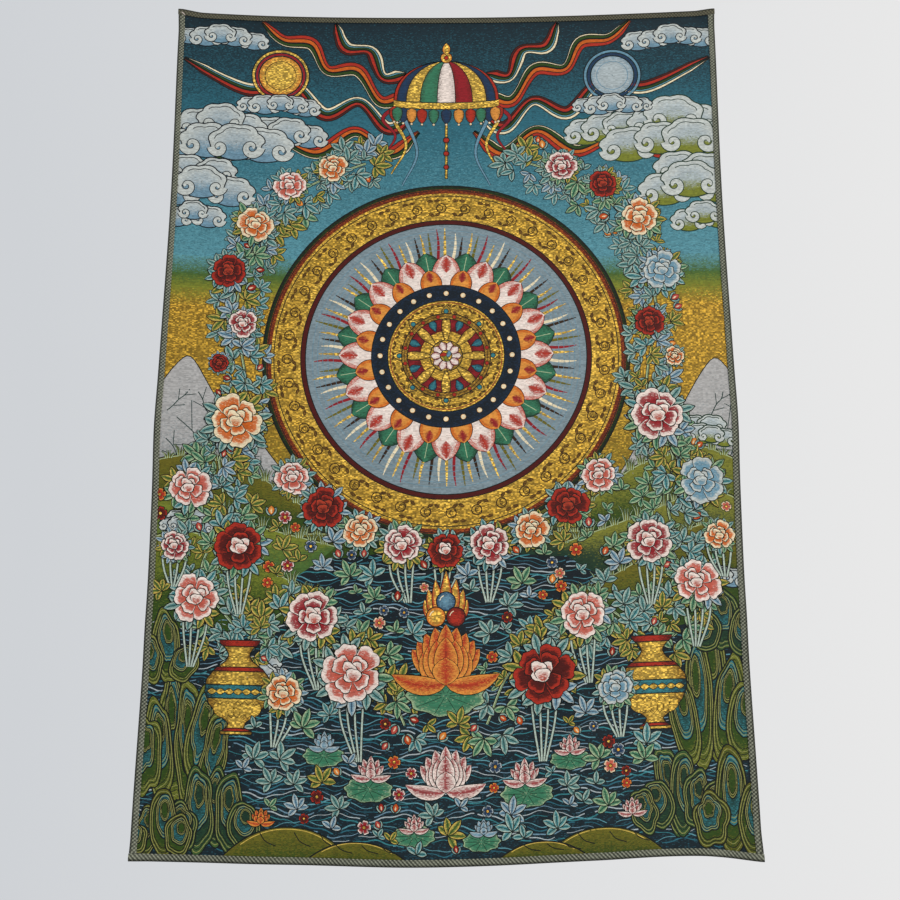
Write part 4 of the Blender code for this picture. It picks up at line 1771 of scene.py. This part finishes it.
# %% [markdown]
# ## From figures to meshes
# Each family of figures becomes one mesh, so that the scene has a handful of pieces and not
# thousands. Its faces are sorted from the lowest level to the highest. The numbers that the
# finish needs are stored at the points as attributes. A flat layout of the family over the
# unit square is its UV map, so that its colours can also be baked into one picture.

# %% Meshes that follow the folds
MOST_TRIANGLES = 190_000


def linked(name, mesh, finish):
    """An object of the scene from a mesh and its finish."""
    mesh.materials.append(finish)
    made = bpy.data.objects.new(name, mesh)
    bpy.context.scene.collection.objects.link(made)
    return made


def dressed_mesh(name, places, heights, faces, first, second, tone):
    """A silk mesh hung on the folds, with its yarns stored at its points, and the way each
    point faces."""
    points, facing = hung(places, heights)
    mesh = bpy.data.meshes.new(name)
    mesh.vertices.add(len(points))
    mesh.vertices.foreach_set("co", points.ravel())
    mesh.loops.add(faces.size)
    mesh.loops.foreach_set("vertex_index", faces.ravel().astype(np.int32))
    corners = faces.shape[1]
    mesh.polygons.add(len(faces))
    mesh.polygons.foreach_set("loop_start", np.arange(0, faces.size, corners, dtype=np.int32))
    mesh.update(calc_edges=True)
    for label, kind, values in (
        ("first", "FLOAT_COLOR", first),
        ("second", "FLOAT_COLOR", second),
        ("tone", "FLOAT", tone),
        ("cloth_mm", "FLOAT_VECTOR", np.c_[places, np.zeros(len(places))]),
    ):
        field = {"FLOAT_COLOR": "color", "FLOAT": "value", "FLOAT_VECTOR": "vector"}[kind]
        layer = mesh.attributes.new(label, kind, "POINT")
        layer.data.foreach_set(field, np.ascontiguousarray(values, np.float32).ravel())
    flat = mesh.uv_layers.new(name="OFBake")
    low, high = places.min(0), places.max(0)
    spread = (places - low) / np.maximum(high - low, 1e-6)
    flat.data.foreach_set("uv", spread[faces.ravel()].astype(np.float32).ravel())
    mesh.polygons.foreach_set("use_smooth", np.ones(len(faces), bool))
    return linked(name, mesh, silk), facing


# %% One mesh for each family
def family_piece(name, figures):
    """One mesh from the figures of a family, lowest level first."""
    points, faces, first, second, tone, level = joined(figures)
    faces = faces[np.argsort(level[faces[:, 0]], kind="stable")]
    used, faces = np.unique(faces, return_inverse=True)
    faces = faces.reshape(-1, 3)
    points, first, second, tone, level = (a[used] for a in (points, first, second, tone, level))
    heights = SHEET_THICKNESS / 2 + FIRST_LEVEL + level * LEVEL_STEP
    made, facing = dressed_mesh(name, points, heights, faces, first, second, tone)
    made.data.normals_split_custom_set_from_vertices(facing)
    return made


woven_pieces = []
for family, figures in laid.items():
    total = sum(len(f.faces) for f in figures)
    shares = max(1, math.ceil(total / MOST_TRIANGLES))
    cut = math.ceil(len(figures) / shares)
    for k in range(shares):
        label = f"woven_{family}" + (f"_{k + 1}" if shares > 1 else "")
        woven_pieces.append(family_piece(label, figures[k * cut : (k + 1) * cut]))
    print(family, total, "triangles")
print("highest stack:", stacked.max(), "levels,",
      round((SHEET_THICKNESS / 2 + FIRST_LEVEL + stacked.max() * LEVEL_STEP), 2), "mm")

# %% [markdown]
# ## The sheet itself
# Below the figures lies the cloth that carries them: a closed sheet 0.6 mm thick. A brocade's
# reverse shows the front in muted, streaky colours, because the yarns that the face doesn't
# need float loosely behind it. The reverse here takes the colour that lies on top at the same
# spot, dulls it and crosses it with a dark yarn in streaks.

# %% The carrying sheet and its reverse
def even_places(start, stop, step):
    return np.linspace(start, stop, int(abs(stop - start) / step) + 1)


DULLED = 0.75
DARKENED = 0.30


def softened_colours():
    """The map of the colours on top, each cell mixed with its neighbours."""
    picture = top_colour.reshape(MAP_ROWS, MAP_COLUMNS, 4)
    for axis in (0, 1, 1):
        picture = (np.roll(picture, 1, axis) + picture + np.roll(picture, -1, axis)) / 3
    return picture.reshape(-1, 4)


def grid_sheet(name, across, down, thickness):
    """A closed thin sheet: a grid, its reverse and the walls between them."""
    rows, columns = len(down), len(across)
    x, y = np.meshgrid(across, down)
    places = np.stack([x.ravel(), y.ravel()], 1)
    index = np.arange(rows * columns).reshape(rows, columns)
    a, b, c, d = grid_corners(index)
    front = np.stack([a, d, c, b], -1).reshape(-1, 4)
    back = front[:, ::-1] + index.size
    rim = np.concatenate([index[0], index[1:, -1], index[-1, -2::-1], index[-2:0:-1, 0]])
    after = np.roll(rim, -1)
    walls = np.stack([rim, after, after + index.size, rim + index.size], 1)
    heights = np.repeat((thickness / 2, -thickness / 2), index.size)
    total = index.size
    face_colour = np.tile(YARNS["night"], (total, 1))
    dull = softened_colours()[cells_at(places)] * DULLED + np.array(YARNS["umber"]) * DARKENED
    dull[:, 3] = 0
    streak = 0.30 + 0.20 * np.sin(places[:, 1] / 7.0) + 0.12 * np.sin(places[:, 0] / 11.0)
    return dressed_mesh(
        name,
        np.tile(places, (2, 1)),
        heights,
        np.concatenate([back, walls, front]),
        np.concatenate([face_colour, dull]),
        np.tile(YARNS["ink"], (2 * total, 1)),
        np.concatenate([np.full(total, 0.3), np.clip(streak, 0.05, 0.7)]),
    )[0]


SHEET_CELL = 4.6
sheet_across = even_places(-CLOTH_HALF_WIDTH, CLOTH_HALF_WIDTH, SHEET_CELL)
sheet_down = even_places(-EDGE_INSET, -FINISHED_HEIGHT + EDGE_INSET, SHEET_CELL)
carrier = grid_sheet("woven_sheet", sheet_across, sheet_down, SHEET_THICKNESS)
print("carrying sheet:", len(carrier.data.polygons), "faces")

# %% [markdown]
# ## The edge binding
# The raw edges are folded into a narrow twill tape. Its outer face stands 1.6 mm from the
# cloth's middle on both sides, with a soft round fold between them. A tape is a section swept
# along its edge, and each of its points goes through the same formula as the cloth, so it
# rides on the same folds. The top and bottom tapes run the full width, and the side tapes
# butt against them.

# %% Twill for the tape
def tape_finish(name, light, dark, pitch, slant, netting):
    """Diagonal rows of pale and dark thread, with painted shade darkening the tape along its
    rounded fold. netting is the share of a second set of rows that slants the other way."""
    n = new_finish(name)
    place = n.attribute("tape_mm")
    along = n.add("ShaderNodeSeparateXYZ", place)
    over = along.node.outputs[1]
    waves = []
    for lean in (slant, -slant):
        phase = n.math("MULTIPLY_ADD", over, lean, along)
        waves.append(n.math("SINE", n.math("MULTIPLY", phase, 2 * math.pi / pitch)))
    weave_sum = n.math("MULTIPLY_ADD", waves[1], netting, waves[0])
    rows = n.add("ShaderNodeMapRange", weave_sum, -0.5, 1.0, 0.0, 1.0)
    number = n.random_cell(place, (1.3, 0.9, 1.0))
    patch = n.add("ShaderNodeTexNoise", place)
    n.feed_named(patch.node, Scale=0.035, Detail=2.0)
    colour = n.blend(rows, dark, light)
    worn = n.blend(n.add("ShaderNodeMapRange", patch, 0.45, 0.7, 0.0, 0.25), colour, light)
    # Painted shade: the tape's colour is darkened along its rounded fold, to a fifth at the fold's middle
    edge = n.add("ShaderNodeMapRange", n.math("ABSOLUTE", over), 2.0, 3.9, 0.2, 1.0)
    # Brightness: random tone of the threads, times the painted fold shade
    grain_and_fold_shade = n.math("MULTIPLY", n.between(number, 0.78, 1.15), edge)
    relief = n.math("MULTIPLY_ADD", number, 0.4, weave_sum)
    n.feed_named(
        n.target,
        Base_Color=n.lit(worn, grain_and_fold_shade),
        Roughness=n.between(number, 0.72, 0.92),
        Normal=n.raised(relief, strength=0.6, depth=0.15),
        Specular_IOR_Level=0.2,
        Sheen_Weight=0.04,
    )
    return n.owner


PALE_TWILL = yarn("888c7d")
DARK_TWILL = yarn("363a32")
OLIVE_TWILL = yarn("62604f")
OLIVE_SHADE = yarn("33332a")
striped_tape = tape_finish("tape_striped", PALE_TWILL, DARK_TWILL, 3.9, 1.0, 0.25)
netted_tape = tape_finish("tape_netted", PALE_TWILL, DARK_TWILL, 3.5, 0.9, 0.8)
plain_tape = tape_finish("tape_plain", OLIVE_TWILL, OLIVE_SHADE, 3.5, 0.9, 0.8)

# %% A folded tape in section
TAPE_OFFSET = 1.6
TAPE_STATION = 2.5
FOLD_POINTS = 9
FLAT_POINTS = (4.6, 2.9)


def tape_section():
    """Points round the folded tape, as distance inside the finished edge and height, in mm,
    and the number of the point at the middle of the fold."""
    outer_turn = np.radians(np.linspace(90, -90, FOLD_POINTS))
    outer = [(TAPE_OFFSET * (1 - math.cos(a)) * 0.9, TAPE_OFFSET * math.sin(a)) for a in outer_turn]
    inner_height = TAPE_OFFSET - TAPE_THICKNESS
    inner_turn = np.radians(np.linspace(-90, 90, 5))
    inner = [(TAPE_THICKNESS + inner_height * (1 - math.cos(a)) * 0.9, inner_height * math.sin(a))
             for a in inner_turn]
    lip = TAPE_WIDTH
    front = [(lip, inner_height + 0.12), (lip + 0.1, TAPE_OFFSET - 0.4), (lip - 0.35, TAPE_OFFSET),
             *((x, TAPE_OFFSET + 0.04) for x in FLAT_POINTS)]
    back = [(x, -height) for x, height in front[::-1]]
    return np.array([*front, *outer, *back, *inner]), len(front) + FOLD_POINTS // 2


# %% Four tapes along the edges
def tape_piece(name, path, inward, finish):
    """Sweeps the section along an edge. path holds the edge's places and inward points to
    the middle of the cloth."""
    section, middle = tape_section()
    path = np.asarray(path, float)
    stations, around_count = len(path), len(section)
    inside, height = section.T
    places = path[:, None, :] + np.asarray(inward, float) * inside[None, :, None]
    index = np.arange(stations * around_count).reshape(stations, around_count)
    after = np.roll(index, -1, axis=1)
    sides = np.stack([index[:-1], after[:-1], after[1:], index[1:]], -1).reshape(-1, 4)
    points, _ = hung(places.reshape(-1, 2), np.tile(height, stations))
    mesh = bpy.data.meshes.new(name)
    ends = [tuple(index[0][::-1]), tuple(index[-1])]
    mesh.from_pydata(points.tolist(), [], [*sides.tolist(), *ends])
    mesh.update()
    run = travelled(section)
    values = np.zeros((stations, around_count, 3))
    values[..., 0] = travelled(path)[:, None]
    values[..., 1] = run - run[middle]
    layer = mesh.attributes.new("tape_mm", "FLOAT_VECTOR", "POINT")
    layer.data.foreach_set("vector", values.astype(np.float32).ravel())
    made = linked(name, mesh, finish)
    mesh.polygons.foreach_set("use_smooth", np.ones(len(mesh.polygons), bool))
    mesh.set_sharp_from_angle(angle=math.radians(50))
    return made


HALF = FINISHED_WIDTH / 2
SIDE_START = TAPE_WIDTH + SEWN_GAP
level_run = even_places(-HALF, HALF, TAPE_STATION)
upright_run = even_places(-SIDE_START, -FINISHED_HEIGHT + SIDE_START, TAPE_STATION)


def level_edge(y):
    return np.stack([level_run, np.full_like(level_run, y)], 1)


def upright_edge(x):
    return np.stack([np.full_like(upright_run, x), upright_run], 1)


top_tape = tape_piece("tape_top", level_edge(0.0), (0, -1), plain_tape)
bottom_tape = tape_piece("tape_bottom", level_edge(-FINISHED_HEIGHT)[::-1], (0, 1), striped_tape)
left_tape = tape_piece("tape_left", upright_edge(-HALF)[::-1], (1, 0), netted_tape)
right_tape = tape_piece("tape_right", upright_edge(HALF), (-1, 0), netted_tape)
tapes = (top_tape, bottom_tape, left_tape, right_tape)
print("tape faces:", [len(tape.data.polygons) for tape in tapes])

# %% [markdown]
# ## Stitches along the binding
# A row of lock stitches holds the tape's inner lip down on both faces. Each stitch is a short
# bead of thread, sunk a little into the tape at its two ends.

# %% Stitches
STITCH_PITCH = 3.2
STITCH_LENGTH = 2.3
STITCH_WIDTH = 0.42
STITCH_INSET = 5.9
LOOSE_END = (-294.6, -5.6)
LOOSE_END_AHEAD = (0.78, -0.62)
LOOSE_END_SIZE = (2.2, 2.6, 2.2)
LOOSE_END_LIFT = 0.35


def stitch_bead():
    """A small closed bead of thread along +x, with its ends dipped."""
    loops = []
    for share, size, lift in ((-1, 0.3, -0.12), (-0.5, 1.0, 0.06), (0.5, 1.0, 0.06), (1, 0.3, -0.12)):
        angle = np.radians(np.array((90, 210, 330)))
        loops.append(np.stack([np.full(3, share * STITCH_LENGTH / 2),
                               np.cos(angle) * STITCH_WIDTH * 0.6 * size,
                               np.sin(angle) * STITCH_WIDTH * 0.5 * size + lift], 1))
    faces = [(2, 1, 0), (9, 10, 11)]
    for a in range(9):
        b = a - 2 if a % 3 == 2 else a + 1
        faces += [(a, b, b + 3), (a, b + 3, a + 3)]
    return np.concatenate(loops), np.array(faces)


def stitch_rows():
    """Places and directions of all stitches, on the face and on the reverse."""
    spots = []
    inset = STITCH_INSET
    run_x = np.arange(-HALF + 2.5, HALF - 2.0, STITCH_PITCH)
    run_y = np.arange(-SIDE_START - 1.5, -FINISHED_HEIGHT + SIDE_START + 1, -STITCH_PITCH)
    for y in (-inset, -FINISHED_HEIGHT + inset):
        spots += [((x, y), (1, 0)) for x in run_x]
    for x in (-HALF + inset, HALF - inset):
        spots += [((x, y), (0, 1)) for y in run_y]
    return spots


def along_cloth(bead, place, ahead, face_sign):
    """A bead's points on the flat cloth, on its face or its reverse."""
    side = (-ahead[1], ahead[0])
    return place + np.outer(bead[:, 0], ahead) + np.outer(bead[:, 1] * face_sign, side)


def stitches_piece(name):
    bead, faces = stitch_bead()
    places, heights = [], []
    for place, ahead in stitch_rows():
        for face_sign in (1, -1):
            places.append(along_cloth(bead, place, ahead, face_sign))
            heights.append(face_sign * (TAPE_OFFSET + bead[:, 2]))
    end = bead * LOOSE_END_SIZE
    places.append(along_cloth(end, LOOSE_END, LOOSE_END_AHEAD, 1))
    heights.append(TAPE_OFFSET + LOOSE_END_LIFT + end[:, 2])
    all_faces = [faces + len(bead) * k for k in range(len(places))]
    places, heights = np.concatenate(places), np.concatenate(heights)
    total = len(places)
    yarns, shades = (np.tile(twill, (total, 1)) for twill in (PALE_TWILL, OLIVE_TWILL))
    yarns[-len(bead):] = shades[-len(bead):] = YARNS["blush"]
    tones = np.full(total, 0.6)
    return dressed_mesh(name, places, heights, np.concatenate(all_faces), yarns, shades, tones)[0]


stitches = stitches_piece("binding_stitches")
print("stitch faces:", len(stitches.data.polygons))

# %% [markdown]
# ## Fitting the pieces to the frame
# Every piece stands for, or lies on, a part of the imported model, and moves with its one body.

# %% Ride and replace
for piece in (*woven_pieces, carrier, *tapes, stitches):
    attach(piece, "root")
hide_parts("picture_panel")
for tape, node in zip(tapes, ("binding_top", "binding_bottom", "binding_left", "binding_right")):
    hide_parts(node)

# %% [markdown]
# ## Floor, light and backdrop colour
# The picture is lit like a pale room by day. The world gives an even light that fades a little
# to the left, and one large soft lamp from the upper right lets the folds show. The floor is
# plain and stands well below the hem.

# %% Floor, room and lamp
FLOOR_HEIGHT = -1.6
FLOOR_REACH = 2.0
FLOOR_MIDDLE = -0.6
FADE_WIDTH = 0.36
LAMP_PLACE = (3.2, -4.3, 1.2)
LAMP_AIM = (0.0, 0.0, -0.45)
LAMP_SIDE = 2.0
LAMP_POWER = 156.0
LAMP_TINT = (1.0, 0.92, 0.80)


def opaque(code):
    return yarn(code, 1.0)


corners = [(FLOOR_REACH * x, FLOOR_REACH * y + FLOOR_MIDDLE, FLOOR_HEIGHT)
           for x, y in ((-1, -1), (1, -1), (1, 1), (-1, 1))]
floor_mesh = bpy.data.meshes.new("floor")
floor_mesh.from_pydata(corners, [], [(0, 1, 2, 3)])
floor_finish = new_finish("pale_floor")
floor_finish.feed_named(floor_finish.target, Base_Color=opaque("d8d8d6"), Roughness=0.9)
floor = linked("floor", floor_mesh, floor_finish.owner)
floor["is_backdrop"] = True

world = bpy.data.worlds.new("pale_room")
bpy.context.scene.world = world
room = Nodes(world, "Background")
sideways = room.add("ShaderNodeSeparateXYZ", room.add("ShaderNodeTexCoord"))
fade = room.add("ShaderNodeMapRange", sideways, -FADE_WIDTH, FADE_WIDTH, 0.0, 1.0)
room.feed_named(room.target, Color=room.blend(fade, opaque("cfd2d6"), opaque("e8e8e8")), Strength=1.0)

lamp = bpy.data.objects.new("soft_lamp", bpy.data.lights.new("soft_lamp", "AREA"))
bpy.context.scene.collection.objects.link(lamp)
lamp.location = LAMP_PLACE
aim = np.array(LAMP_AIM) - np.array(lamp.location)
lamp.rotation_euler = (math.acos(-aim[2] / np.linalg.norm(aim)), 0, math.atan2(-aim[0], aim[1]))
lamp.data.shape = "RECTANGLE"
lamp.data.size = lamp.data.size_y = LAMP_SIDE
lamp.data.energy = LAMP_POWER
lamp.data.color = LAMP_TINT
bpy.context.scene.view_settings.view_transform = "Standard"

# %% Sizes of the finished piece
size = {
    "cad": [[float(v) for v in corner] for corner in (cad_low, cad_high)],
    "visual": [[float(v) for v in corner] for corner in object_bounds()],
}
print(size)
